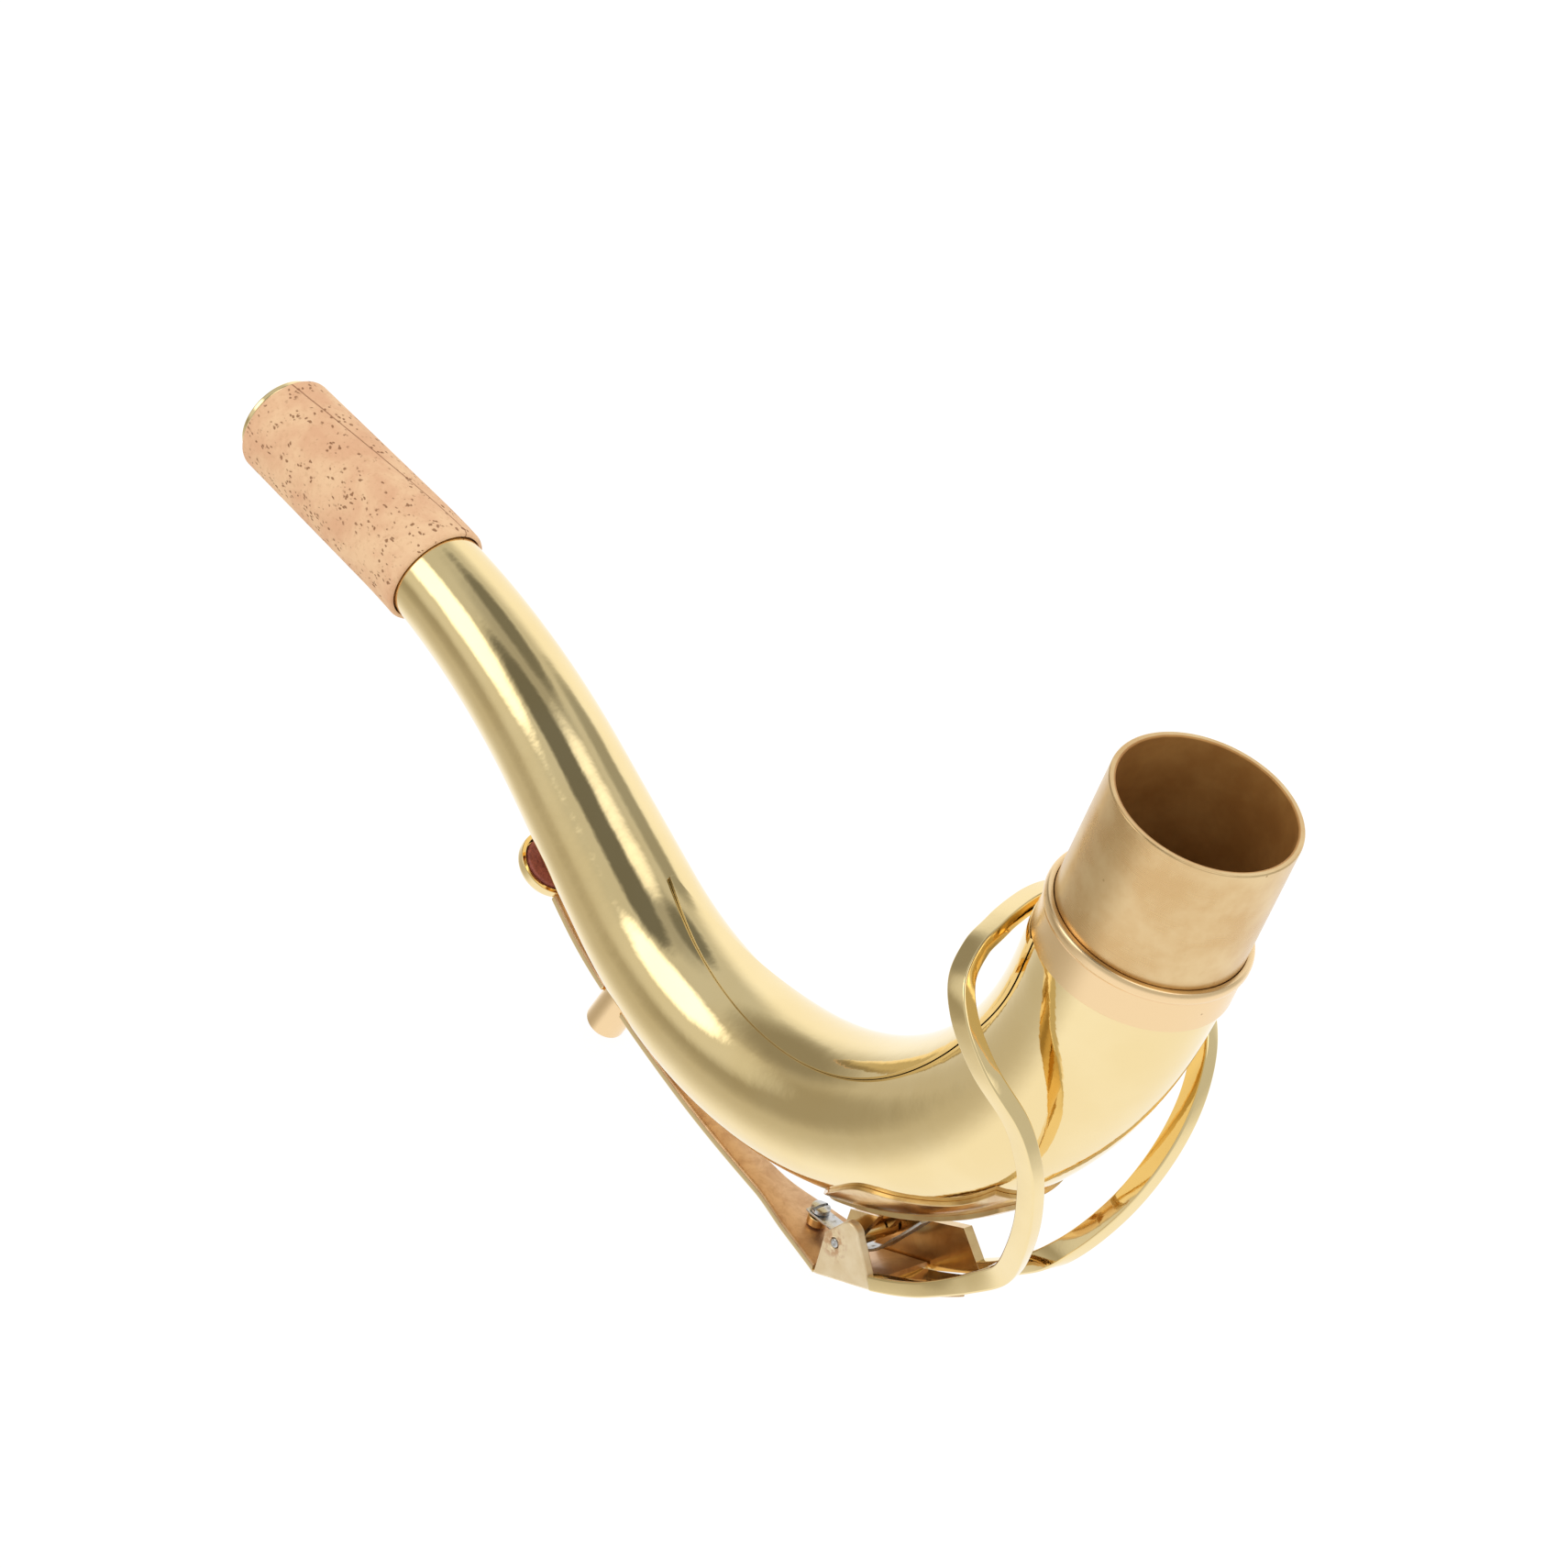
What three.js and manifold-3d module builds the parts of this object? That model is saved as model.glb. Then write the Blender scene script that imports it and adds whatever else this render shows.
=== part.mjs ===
// Tenor saxophone neck with its sprung octave key, in millimetres.
// The origin is the centre of the tenon's open end and +Z points out of that end. The tube hangs
// below it and bends toward -X, where the corked mouthpiece end lies. The key's hinge pin lies along Y.
//
// Places on the neck are given as a station (distance along the tube's centreline from the tenon's
// open end), an angle round the tube (0 on the outside of the main bend, where the key is) and a
// height above the tube's outer surface.

import * as THREE from 'three';
import { mergeVertices } from 'three/addons/utils/BufferGeometryUtils.js';
import Module from 'manifold-3d';

const wasm = await Module();
wasm.setup();

// Clearances
const seatGap = 0.25;
const pinClearance = 0.08;
const cutOverrun = 2;

// Tenon and its collar
const tenonDiameter = 27.5;
const tenonWall = 1;
const tenonLength = 20.8;
const collarLength = 7.2;
const collarBandDiameter = 28.9;
const collarBeadDiameter = 29.8;
const collarBeadLength = 2;

// Centreline of the tube
const entryStraightLength = 32.4;
const mainBendLength = 118.5;
const mainBendAngle = THREE.MathUtils.degToRad(109.4);
const middleStraightLength = 19.2;
const backBendLength = 48.4;
const backBendAngle = THREE.MathUtils.degToRad(23.9);
const mouthStraightLength = 30;
const bendEaseLength = 3;
const mainBendTighteningShare = 0.163;

// Tube
const tubeTenonEndDiameter = 27.9;
const tubeTipDiameter = 12.5;
const tubeTaperDip = 0.22;
const tubeWall = 0.8;
const tipRingDiameter = 13.6;
const tipRingLength = 1;

// Mouthpiece cork
const corkLength = 38.4;
const corkTipDiameter = 16;
const corkInnerEndDiameter = 16.8;

// Brace along the inside of the main bend: a leaf, widest at the collar and pointed at its far end
const braceThickness = 0.4;
const braceLength = 120.6;
const braceHalfAngle = THREE.MathUtils.degToRad(58);
const braceOutlineShares = [
  [0, 1], [0.1, 0.97], [0.24, 0.79], [0.5, 0.76], [0.66, 0.63], [0.86, 0.34], [1, 0.04],
];

// Octave vent, a bored pip on a small base
const ventStation = 163;
const ventBore = 1.6;
const pipDiameter = 4;
const pipHeight = 2.75;
const pipBaseDiameter = 6.4;
const pipBaseHeight = 1;

// Saddle that carries the key: a foot wrapped round the tube, and a narrower plate on it
const footStation = 66;
const footLength = 33;
const footThickness = 0.5;
const footHalfAngle = THREE.MathUtils.degToRad(57);
const footOutlineShares = [[0, 0.58], [0.21, 0.6], [0.47, 0.84], [0.67, 1], [0.88, 0.76], [1, 0.45]];
const doublerStation = 68;
const doublerLength = 33.5;
const doublerWidth = 6.4;
const doublerThickness = 0.5;
const doublerEndWidthShare = 0.44;

// Hinge of the key
const hingeStation = 96.4;
const hingeHeight = 5.7;
const hingePinDiameter = 1.4;
const barrelDiameter = 3;
const barrelLength = 9.3;
const legThickness = 1.4;
const legInset = 0.9;
const legReachTowardTenon = 10;
const legSetback = 2.5;

// Ears of the key, two plates outside the barrel. The far one runs on as a cheek beside the key plate.
const earThickness = 1.6;
const earDrop = 5.5;
const earBaseTowardTip = 4.8;
const earBaseTowardTenon = 7;
const earShoulderTowardTip = 1.9;
const earShoulderRise = 1.2;
const earCrownRise = 3.8;
const earCrownOffset = 3.1;
const earCrownRadius = 2;
const cheekStation = 83.5;
const cheekTopHeight = 4.3;
const cheekTopSetback = 1.3;

// Arm of the key, from the hinge past the bumper socket to the pad cup
const armThickness = 1.4;
const armHingeWidth = 13;
const armWaistWidth = 5.8;
const armWidth = 4.4;
const armWaistStation = 112.8;
const armWaistHeight = 7;
const armMiddleStation = 125;
const armMiddleHeight = 4.6;
const armSocketHeight = 4.1;
const armCupHeight = 5;
const armCupReach = 13;

// Bumper socket and its cork
const socketStation = 142;
const socketDiameter = 6;
const socketInnerHeight = 1.7;
const socketOuterHeight = 9.3;
const bumperDiameter = 3.6;
const bumperDepth = 2.6;
const bumperHeight = 0.4;

// Pad cup
const cupDiameter = 10.4;
const cupWall = 0.7;
const cupRimHeight = 3.3;
const cupBackHeight = 5.8;
const padFaceHeight = 3;
const padLeatherThickness = 0.9;

// Ring round the tube. Its two ends run on as bars along the key plate, which joins them.
const ringDepth = 3.2;
const ringThickness = 2.4;
const ringBarDepth = 2.3;
const ringBarThickness = 2;
const ringEdgeChamfer = 0.5;
const ringCrestStation = 32.2;
const ringRootStation = 70.5;
const ringBarHeight = 10.9;
const ringPathShares = [
  [1, 0.081, 1], [0.871, 0.081, 0.99], [0.764, 0.077, 0.94], [0.66, 0.083, 0.89], [0.547, 0.136, 0.78],
  [0.425, 0.206, 0.65], [0.313, 0.289, 0.56], [0.233, 0.383, 0.545], [0.18, 0.5, 0.64], [0.122, 0.589, 0.74],
  [0.073, 0.653, 0.74], [0.031, 0.725, 0.57], [0.011, 0.811, 0.37], [0.004, 0.906, 0.29], [0, 1, 0.28],
];

// Key plate between the ears and the ring
const plateThickness = 1;
const plateEndStation = 79;
const plateEndHollow = 3;

// Flat spring, its boss and its screw
const springThickness = 0.4;
const springWidth = 2.8;
const springTail = 1.4;
const springBow = 0.4;
const springTipStation = 86;
const screwStation = 105;
const screwHeadDiameter = 2.8;
const screwHeadHeight = 0.8;
const screwSlotWidth = 0.5;
const screwSlotDepth = 0.4;
const bossDiameter = 3;
const bossHeight = 1.4;

// Facet and step counts
const tubeSides = 36;
const turnedSides = 48;
const smallSides = 24;
const stationSpacing = 6;
const bendSteps = 1000;
const patchSteps = 12;
const beadSteps = 6;
const crownSteps = 6;
const armSteps = 16;
const armStepsAcross = 2;
const armSearchSteps = 400;
const cupArmSteps = 10;
const ringSteps = 80;
const ringTangentShare = 0.001;
const plateStepsAlong = 8;
const plateStepsAcross = 6;
const springSteps = 28;

// Materials
function brass(colour, roughness) {
  return new THREE.MeshStandardMaterial({ color: colour, roughness: roughness, metalness: 1 });
}

function soft(colour, roughness) {
  return new THREE.MeshStandardMaterial({ color: colour, roughness: roughness, metalness: 0 });
}

const lacqueredBrass = brass(0xd9bd78, 0.12);
const satinBrass = brass(0xcfa978, 0.35);
const steel = brass(0x8d8f92, 0.3);
const corkMaterial = soft(0xe0b488, 0.85);
const padLeatherMaterial = soft(0x7d372d, 0.6);
const padCardMaterial = soft(0xc9bfa8, 0.9);

// Centreline, walked in small steps from the tenon's open end
const mainBendStart = entryStraightLength;
const mainBendEnd = mainBendStart + mainBendLength;
const backBendStart = mainBendEnd + middleStraightLength;
const backBendEnd = backBendStart + backBendLength;
const neckLength = backBendEnd + mouthStraightLength;

// Share of a bend's full curvature, which eases in and out over bendEaseLength.
function easeShare(into, length) {
  const fromEnd = Math.min(into, length - into);
  return THREE.MathUtils.clamp(fromEnd / bendEaseLength, 0, 1);
}

function mainBendCurvature(station) {
  const into = station - mainBendStart;
  const meanShare = 1 + mainBendTighteningShare / 2;
  const steady = mainBendAngle / ((mainBendLength - bendEaseLength) * meanShare);
  return steady * easeShare(into, mainBendLength) * (1 + mainBendTighteningShare * into / mainBendLength);
}

function backBendCurvature(station) {
  const steady = backBendAngle / (backBendLength - bendEaseLength);
  return -steady * easeShare(station - backBendStart, backBendLength);
}

function curvature(station) {
  if (station > mainBendStart && station < mainBendEnd) return mainBendCurvature(station);
  if (station > backBendStart && station < backBendEnd) return backBendCurvature(station);
  return 0;
}

function walkCentreline() {
  const step = neckLength / bendSteps;
  const walked = [{ x: 0, z: 0, turn: 0 }];
  for (let i = 0; i < bendSteps; i += 1) {
    const last = walked[i];
    const turn = last.turn + curvature((i + 0.5) * step) * step;
    const middleTurn = (last.turn + turn) / 2;
    const x = last.x - Math.sin(middleTurn) * step;
    const z = last.z - Math.cos(middleTurn) * step;
    walked.push({ x: x, z: z, turn: turn });
  }
  return walked;
}

const walkedPoints = walkCentreline();

// Point, forward direction (toward the mouthpiece) and outward direction (toward the key) at a station.
function frameAt(station) {
  const place = THREE.MathUtils.clamp(station / neckLength, 0, 1) * bendSteps;
  const before = Math.min(Math.floor(place), bendSteps - 1);
  const share = place - before;
  const from = walkedPoints[before];
  const to = walkedPoints[before + 1];
  const x = THREE.MathUtils.lerp(from.x, to.x, share);
  const z = THREE.MathUtils.lerp(from.z, to.z, share);
  const turn = THREE.MathUtils.lerp(from.turn, to.turn, share);
  return {
    point: new THREE.Vector3(x, 0, z),
    forward: new THREE.Vector3(-Math.sin(turn), 0, -Math.cos(turn)),
    outward: new THREE.Vector3(Math.cos(turn), 0, -Math.sin(turn)),
  };
}

// Outer radius of the tube: a cone that dips a little below straight at its middle.
const tubeStart = tenonLength + collarLength + seatGap;
const tubeEnd = neckLength - tipRingLength - seatGap;

function tubeRadius(station) {
  const share = THREE.MathUtils.clamp((station - tubeStart) / (tubeEnd - tubeStart), 0, 1);
  const cone = THREE.MathUtils.lerp(tubeTenonEndDiameter, tubeTipDiameter, share) / 2;
  return cone - 4 * tubeTaperDip * share * (1 - share);
}

// Point at a station, an angle round the tube and a distance from the centreline.
function aroundAt(station, angle, radius) {
  const frame = frameAt(station);
  return frame.point.clone()
    .addScaledVector(frame.outward, Math.cos(angle) * radius)
    .add(new THREE.Vector3(0, Math.sin(angle) * radius, 0));
}

function aboveTube(station, angle, height) {
  return aroundAt(station, angle, tubeRadius(station) + height);
}

// Smooth value through a table of [share, value] rows, with slopes from the neighbouring rows.
function smoothTable(table, share) {
  const last = table.length - 1;
  let row = 0;
  while (row < last - 1 && share > table[row + 1][0]) row += 1;
  const slopeAt = (i) => {
    const before = table[Math.max(i - 1, 0)];
    const after = table[Math.min(i + 1, last)];
    return (after[1] - before[1]) / (after[0] - before[0]);
  };
  const width = table[row + 1][0] - table[row][0];
  const t = THREE.MathUtils.clamp((share - table[row][0]) / width, 0, 1);
  const endWeight = 3 * t ** 2 - 2 * t ** 3;
  const startSlopeWeight = t ** 3 - 2 * t ** 2 + t;
  const endSlopeWeight = t ** 3 - t ** 2;
  return (1 - endWeight) * table[row][1] + startSlopeWeight * width * slopeAt(row)
    + endWeight * table[row + 1][1] + endSlopeWeight * width * slopeAt(row + 1);
}

// Closed bodies
function signedVolume(points, faces) {
  let volume = 0;
  for (const [a, b, c] of faces) volume += points[a].dot(points[b].clone().cross(points[c])) / 6;
  return volume;
}

function bodyFrom(points, faces) {
  const flipped = signedVolume(points, faces) < 0;
  const geometry = new THREE.BufferGeometry();
  const coordinates = points.flatMap((point) => [point.x, point.y, point.z]);
  geometry.setAttribute('position', new THREE.Float32BufferAttribute(coordinates, 3));
  geometry.setIndex(faces.flatMap(([a, b, c]) => (flipped ? [a, c, b] : [a, b, c])));
  return geometry;
}

// Merges a ready-made shape's vertices and drops the flat faces at its poles.
function closedBody(geometry) {
  const plain = geometry.clone();
  plain.deleteAttribute('normal');
  plain.deleteAttribute('uv');
  const merged = mergeVertices(plain);
  const position = merged.attributes.position;
  const points = [];
  for (let i = 0; i < position.count; i += 1) {
    points.push(new THREE.Vector3().fromBufferAttribute(position, i));
  }
  const index = merged.index.array;
  const faces = [];
  for (let i = 0; i < index.length; i += 3) {
    const [a, b, c] = index.slice(i, i + 3);
    if (a !== b && b !== c && c !== a) faces.push([a, b, c]);
  }
  return bodyFrom(points, faces);
}

function quad(a, b, c, d) {
  return [[a, b, c], [a, c, d]];
}

// A bar through closed sections of equal point counts, capped at both ends.
function bar(sections) {
  const count = sections[0].length;
  const points = sections.flat();
  const faces = [];
  for (let i = 0; i + 1 < sections.length; i += 1) {
    for (let j = 0; j < count; j += 1) {
      const next = (j + 1) % count;
      faces.push(...quad(i * count + j, i * count + next, (i + 1) * count + next, (i + 1) * count + j));
    }
  }
  const lastRow = (sections.length - 1) * count;
  for (let j = 1; j + 1 < count; j += 1) {
    faces.push([0, j + 1, j]);
    faces.push([lastRow, lastRow + j, lastRow + j + 1]);
  }
  return bodyFrom(points, faces);
}

// A ring through closed sections, the last joined to the first.
function hoop(sections) {
  const count = sections[0].length;
  const faces = [];
  for (let i = 0; i < sections.length; i += 1) {
    const nextRow = ((i + 1) % sections.length) * count;
    for (let j = 0; j < count; j += 1) {
      const next = (j + 1) % count;
      faces.push(...quad(i * count + j, i * count + next, nextRow + next, nextRow + j));
    }
  }
  return bodyFrom(sections.flat(), faces);
}

// A sheet between an inner and an outer surface, each a function of shares along and across.
function sheet(innerAt, outerAt, alongSteps, acrossSteps) {
  const sections = [];
  for (let i = 0; i <= alongSteps; i += 1) {
    const section = [];
    for (let j = 0; j <= acrossSteps; j += 1) section.push(innerAt(i / alongSteps, j / acrossSteps));
    for (let j = acrossSteps; j >= 0; j -= 1) section.push(outerAt(i / alongSteps, j / acrossSteps));
    sections.push(section);
  }
  const count = sections[0].length;
  const faces = [];
  for (let i = 0; i < alongSteps; i += 1) {
    for (let j = 0; j < count; j += 1) {
      const next = (j + 1) % count;
      faces.push(...quad(i * count + j, i * count + next, (i + 1) * count + next, (i + 1) * count + j));
    }
  }
  const lastRow = alongSteps * count;
  for (let j = 0; j < acrossSteps; j += 1) {
    const opposite = count - 1 - j;
    faces.push(...quad(j, opposite, opposite - 1, j + 1));
    faces.push(...quad(lastRow + j, lastRow + j + 1, lastRow + opposite - 1, lastRow + opposite));
  }
  return bodyFrom(sections.flat(), faces);
}

// A hollow body round the centreline between two stations, from radius functions of the station.
function sleeveAlong(start, end, steps, sides, innerRadius, outerRadius) {
  const ringOf = (station, radius) => {
    const ring = [];
    for (let j = 0; j < sides; j += 1) ring.push(aroundAt(station, 2 * Math.PI * j / sides, radius));
    return ring;
  };
  const rings = [];
  for (let i = 0; i <= steps; i += 1) {
    const station = THREE.MathUtils.lerp(start, end, i / steps);
    rings.push(ringOf(station, outerRadius(station)));
  }
  for (let i = steps; i >= 0; i -= 1) {
    const station = THREE.MathUtils.lerp(start, end, i / steps);
    rings.push(ringOf(station, innerRadius(station)));
  }
  return hoop(rings);
}

// A patch that follows the tube between two heights and two angles.
function patchOnTube(start, end, middleAngle, halfAngleAt, innerHeight, outerHeight) {
  const pointAt = (height) => (along, across) => {
    const station = THREE.MathUtils.lerp(start, end, along);
    return aboveTube(station, middleAngle + halfAngleAt(along) * (2 * across - 1), height);
  };
  const steps = Math.ceil((end - start) / stationSpacing);
  return sheet(pointAt(innerHeight), pointAt(outerHeight), steps, patchSteps);
}

// Cutting and joining
function toSolid(geometry) {
  const merged = mergeVertices(geometry);
  const vertProperties = new Float32Array(merged.attributes.position.array);
  const triVerts = new Uint32Array(merged.index.array);
  return new wasm.Manifold(new wasm.Mesh({ numProp: 3, vertProperties, triVerts }));
}

function fromSolid(solid) {
  const mesh = solid.getMesh();
  const geometry = new THREE.BufferGeometry();
  geometry.setAttribute('position', new THREE.BufferAttribute(new Float32Array(mesh.vertProperties), 3));
  geometry.setIndex(new THREE.BufferAttribute(new Uint32Array(mesh.triVerts), 1));
  return geometry;
}

function cutAway(geometry, cutters) {
  const solid = cutters.reduce((left, cutter) => left.subtract(toSolid(cutter)), toSolid(geometry));
  return fromSolid(solid);
}

function joined(first, second) {
  return fromSolid(toSolid(first).add(toSolid(second)));
}

// A turned body on an axis that starts at origin, from [radius, distance] points along it.
function turned(profile, origin, axis, sides) {
  const points = profile.map(([radius, distance]) => new THREE.Vector2(radius, distance));
  const geometry = new THREE.LatheGeometry(points, sides);
  const turn = new THREE.Quaternion().setFromUnitVectors(new THREE.Vector3(0, 1, 0), axis);
  geometry.applyQuaternion(turn);
  geometry.translate(origin.x, origin.y, origin.z);
  return closedBody(geometry);
}

function disc(radius, from, to, origin, axis, sides) {
  return turned([[0, from], [radius, from], [radius, to], [0, to]], origin, axis, sides);
}

function hollowDisc(innerRadius, outerRadius, from, to, origin, axis, sides) {
  const profile = [
    [innerRadius, from],
    [outerRadius, from],
    [outerRadius, to],
    [innerRadius, to],
    [innerRadius, from],
  ];
  return turned(profile, origin, axis, sides);
}

// Origin on the tube's outer surface at a station, with the outward direction as axis.
function seatAt(station) {
  return { origin: aboveTube(station, 0, 0), axis: frameAt(station).outward };
}

const group = new THREE.Group();

function add(name, geometry, material) {
  const mesh = new THREE.Mesh(geometry, material);
  mesh.name = name;
  group.add(mesh);
}

// Neck body

function neckTube() {
  const steps = Math.ceil((tubeEnd - tubeStart) / stationSpacing);
  const boreRadius = (station) => tubeRadius(station) - tubeWall;
  const shell = sleeveAlong(tubeStart, tubeEnd, steps, tubeSides, boreRadius, tubeRadius);
  const seat = seatAt(ventStation);
  const vent = disc(ventBore / 2, -tubeWall - cutOverrun, cutOverrun, seat.origin, seat.axis, smallSides);
  return cutAway(shell, [vent]);
}

const tenonMouth = new THREE.Vector3(0, 0, 0);
const intoTenon = new THREE.Vector3(0, 0, -1);

function tenonSleeve() {
  const outerRadius = tenonDiameter / 2;
  const fullLength = tenonLength + collarLength;
  return hollowDisc(outerRadius - tenonWall, outerRadius, 0, fullLength, tenonMouth, intoTenon, turnedSides);
}

// A rounded bead faces the tenon and a plain band runs on to the tube.
function tenonCollar() {
  const boreRadius = tenonDiameter / 2 + pinClearance;
  const beadRise = (collarBeadDiameter - collarBandDiameter) / 2;
  const profile = [[boreRadius, tenonLength]];
  for (let i = 0; i <= beadSteps; i += 1) {
    const angle = Math.PI * i / beadSteps;
    const rise = beadRise * Math.sin(angle);
    const along = collarBeadLength * (1 - Math.cos(angle)) / 2;
    profile.push([collarBandDiameter / 2 + rise, tenonLength + along]);
  }
  profile.push([collarBandDiameter / 2, tenonLength + collarLength]);
  profile.push([boreRadius, tenonLength + collarLength]);
  profile.push([boreRadius, tenonLength]);
  return turned(profile, tenonMouth, intoTenon, turnedSides);
}

function tipRing() {
  const start = neckLength - tipRingLength;
  const innerRadius = () => tubeTipDiameter / 2 - tubeWall;
  const outerRadius = () => tipRingDiameter / 2;
  return sleeveAlong(start, neckLength, 1, tubeSides, innerRadius, outerRadius);
}

function mouthpieceCork() {
  const end = tubeEnd - seatGap;
  const start = end - corkLength;
  const steps = Math.ceil(corkLength / stationSpacing);
  const outerRadius = (station) => {
    const share = (station - start) / corkLength;
    return THREE.MathUtils.lerp(corkInnerEndDiameter, corkTipDiameter, share) / 2;
  };
  const innerRadius = (station) => tubeRadius(station) + seatGap;
  return sleeveAlong(start, end, steps, tubeSides, innerRadius, outerRadius);
}

function underBrace() {
  const halfAngleAt = (share) => braceHalfAngle * smoothTable(braceOutlineShares, share);
  const start = tubeStart;
  return patchOnTube(start, start + braceLength, Math.PI, halfAngleAt, seatGap, seatGap + braceThickness);
}

function pipBase() {
  const seat = seatAt(ventStation);
  const reach = pipBaseDiameter / 2 + cutOverrun;
  const body = disc(pipBaseDiameter / 2, -pipBaseHeight, pipBaseHeight, seat.origin, seat.axis, smallSides);
  const wide = () => 2 * Math.atan(reach / tubeRadius(ventStation));
  const tubeSpace = patchOnTube(ventStation - reach, ventStation + reach, 0, wide, -reach, seatGap);
  const bore = disc(ventBore / 2, -reach, reach, seat.origin, seat.axis, smallSides);
  return cutAway(body, [tubeSpace, bore]);
}

function octavePip() {
  const seat = seatAt(ventStation);
  const start = pipBaseHeight + seatGap;
  return hollowDisc(ventBore / 2, pipDiameter / 2, start, pipHeight, seat.origin, seat.axis, smallSides);
}

const footInner = seatGap;
const footOuter = footInner + footThickness;
const doublerInner = footOuter + seatGap;
const doublerOuter = doublerInner + doublerThickness;

function saddleFoot() {
  const halfAngleAt = (share) => footHalfAngle * smoothTable(footOutlineShares, share);
  return patchOnTube(footStation, footStation + footLength, 0, halfAngleAt, footInner, footOuter);
}

function saddleDoubler() {
  const halfAngleAt = (share) => {
    const station = doublerStation + share * doublerLength;
    const endShare = Math.min(2 * Math.min(share, 1 - share) * doublerLength / doublerWidth, 1);
    const rounding = Math.max(Math.sqrt(1 - (1 - endShare) ** 2), doublerEndWidthShare);
    return rounding * Math.asin(doublerWidth / 2 / (tubeRadius(station) + doublerInner));
  };
  const end = doublerStation + doublerLength;
  return patchOnTube(doublerStation, end, 0, halfAngleAt, doublerInner, doublerOuter);
}

// Hinge frame: its origin is the pin's centre, with directions along and away from the tube.
const hinge = frameAt(hingeStation);
const pinCentre = aboveTube(hingeStation, 0, hingeHeight);
const across = new THREE.Vector3(0, 1, 0);

function fromPin(forward, outward, sideways) {
  return pinCentre.clone()
    .addScaledVector(hinge.forward, forward)
    .addScaledVector(hinge.outward, outward)
    .addScaledVector(across, sideways);
}

// A flat plate square to the hinge pin, from an outline of [forward, outward] points.
function sidePlate(outline, from, to) {
  const shape = new THREE.Shape(outline.map(([forward, outward]) => new THREE.Vector2(outward, forward)));
  const plate = new THREE.ExtrudeGeometry(shape, { depth: to - from, bevelEnabled: false });
  const place = new THREE.Matrix4().makeBasis(hinge.outward, hinge.forward, across);
  place.setPosition(fromPin(0, 0, from));
  return closedBody(plate.applyMatrix4(place));
}

function crossDisc(radius, from, to, sides) {
  return disc(radius, from, to, pinCentre, across, sides);
}

function hingeBarrel() {
  const boreRadius = hingePinDiameter / 2 + pinClearance;
  const end = barrelLength / 2;
  return hollowDisc(boreRadius, barrelDiameter / 2, -end, end, pinCentre, across, smallSides);
}

// Each leg is a gusset from the barrel down to the saddle, longer toward the tenon.
function saddleLeg(side) {
  const outerFace = side * (barrelLength / 2 - legInset);
  const innerFace = side * (barrelLength / 2 - legInset - legThickness);
  const depth = hingeHeight + cutOverrun;
  const outline = [
    [barrelDiameter / 2, 0],
    [-legSetback, -depth],
    [-legReachTowardTenon, -depth],
    [-barrelDiameter / 2, 0],
  ];
  const plate = sidePlate(outline, Math.min(outerFace, innerFace), Math.max(outerFace, innerFace));
  const barrelSpace = crossDisc(barrelDiameter / 2 + seatGap, -barrelLength, barrelLength, smallSides);
  const reach = legReachTowardTenon + cutOverrun;
  const wide = () => Math.atan(barrelLength / tubeRadius(hingeStation));
  const top = doublerOuter + seatGap;
  const saddleSpace = patchOnTube(hingeStation - reach, hingeStation + reach, 0, wide, -depth, top);
  return cutAway(plate, [barrelSpace, saddleSpace]);
}

// Octave key

function hingePin() {
  const halfLength = barrelLength / 2 + seatGap + earThickness;
  return crossDisc(hingePinDiameter / 2, -halfLength, halfLength, smallSides);
}

const earInner = barrelLength / 2 + seatGap;
const earOuter = earInner + earThickness;

// Distances of a point from the pin, along the tube and away from it.
function pinOffsets(point) {
  const offset = point.clone().sub(pinCentre);
  return [offset.dot(hinge.forward), offset.dot(hinge.outward)];
}

function earTipSide() {
  return [
    [earBaseTowardTip, earDrop],
    [earShoulderTowardTip, -earShoulderRise],
  ];
}

function earCrown() {
  const firstAngle = Math.PI / 3;
  const lastAngle = Math.PI;
  const points = [];
  for (let i = 0; i <= crownSteps; i += 1) {
    const angle = THREE.MathUtils.lerp(firstAngle, lastAngle, i / crownSteps);
    const forward = -earCrownOffset + earCrownRadius * Math.cos(angle);
    const outward = -earCrownRise + earCrownRadius * (1 - Math.sin(angle));
    points.push([forward, outward]);
  }
  return points;
}

function cheekEnd() {
  return [
    pinOffsets(aboveTube(cheekStation + cheekTopSetback, 0, cheekTopHeight)),
    pinOffsets(aboveTube(cheekStation, 0, ringBarHeight)),
  ];
}

function ear(side, tenonSide) {
  const outline = [...earTipSide(), ...earCrown(), ...tenonSide, [-earBaseTowardTenon, earDrop]];
  const faces = [side * earInner, side * earOuter];
  const plate = sidePlate(outline, Math.min(...faces), Math.max(...faces));
  const holeReach = earOuter + cutOverrun;
  const hole = crossDisc(hingePinDiameter / 2 + pinClearance, -holeReach, holeReach, smallSides);
  return cutAway(plate, [hole]);
}

// Outer face of the arm in the neck's middle plane, from the ears to the pad cup.
const armLine = new THREE.CatmullRomCurve3([
  fromPin(earBaseTowardTip + seatGap, earDrop, 0),
  aboveTube(armWaistStation, 0, armWaistHeight),
  aboveTube(armMiddleStation, 0, armMiddleHeight),
  aboveTube(socketStation, 0, armSocketHeight),
  aboveTube(ventStation - armCupReach, 0, armCupHeight),
  aboveTube(ventStation, 0, armCupHeight),
]);
const armWaistShare = 0.2;
const armSocketShare = 0.6;

function armPlace(share) {
  const forward = armLine.getTangent(share);
  return { point: armLine.getPoint(share), forward: forward, outward: forward.clone().cross(across) };
}

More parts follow.
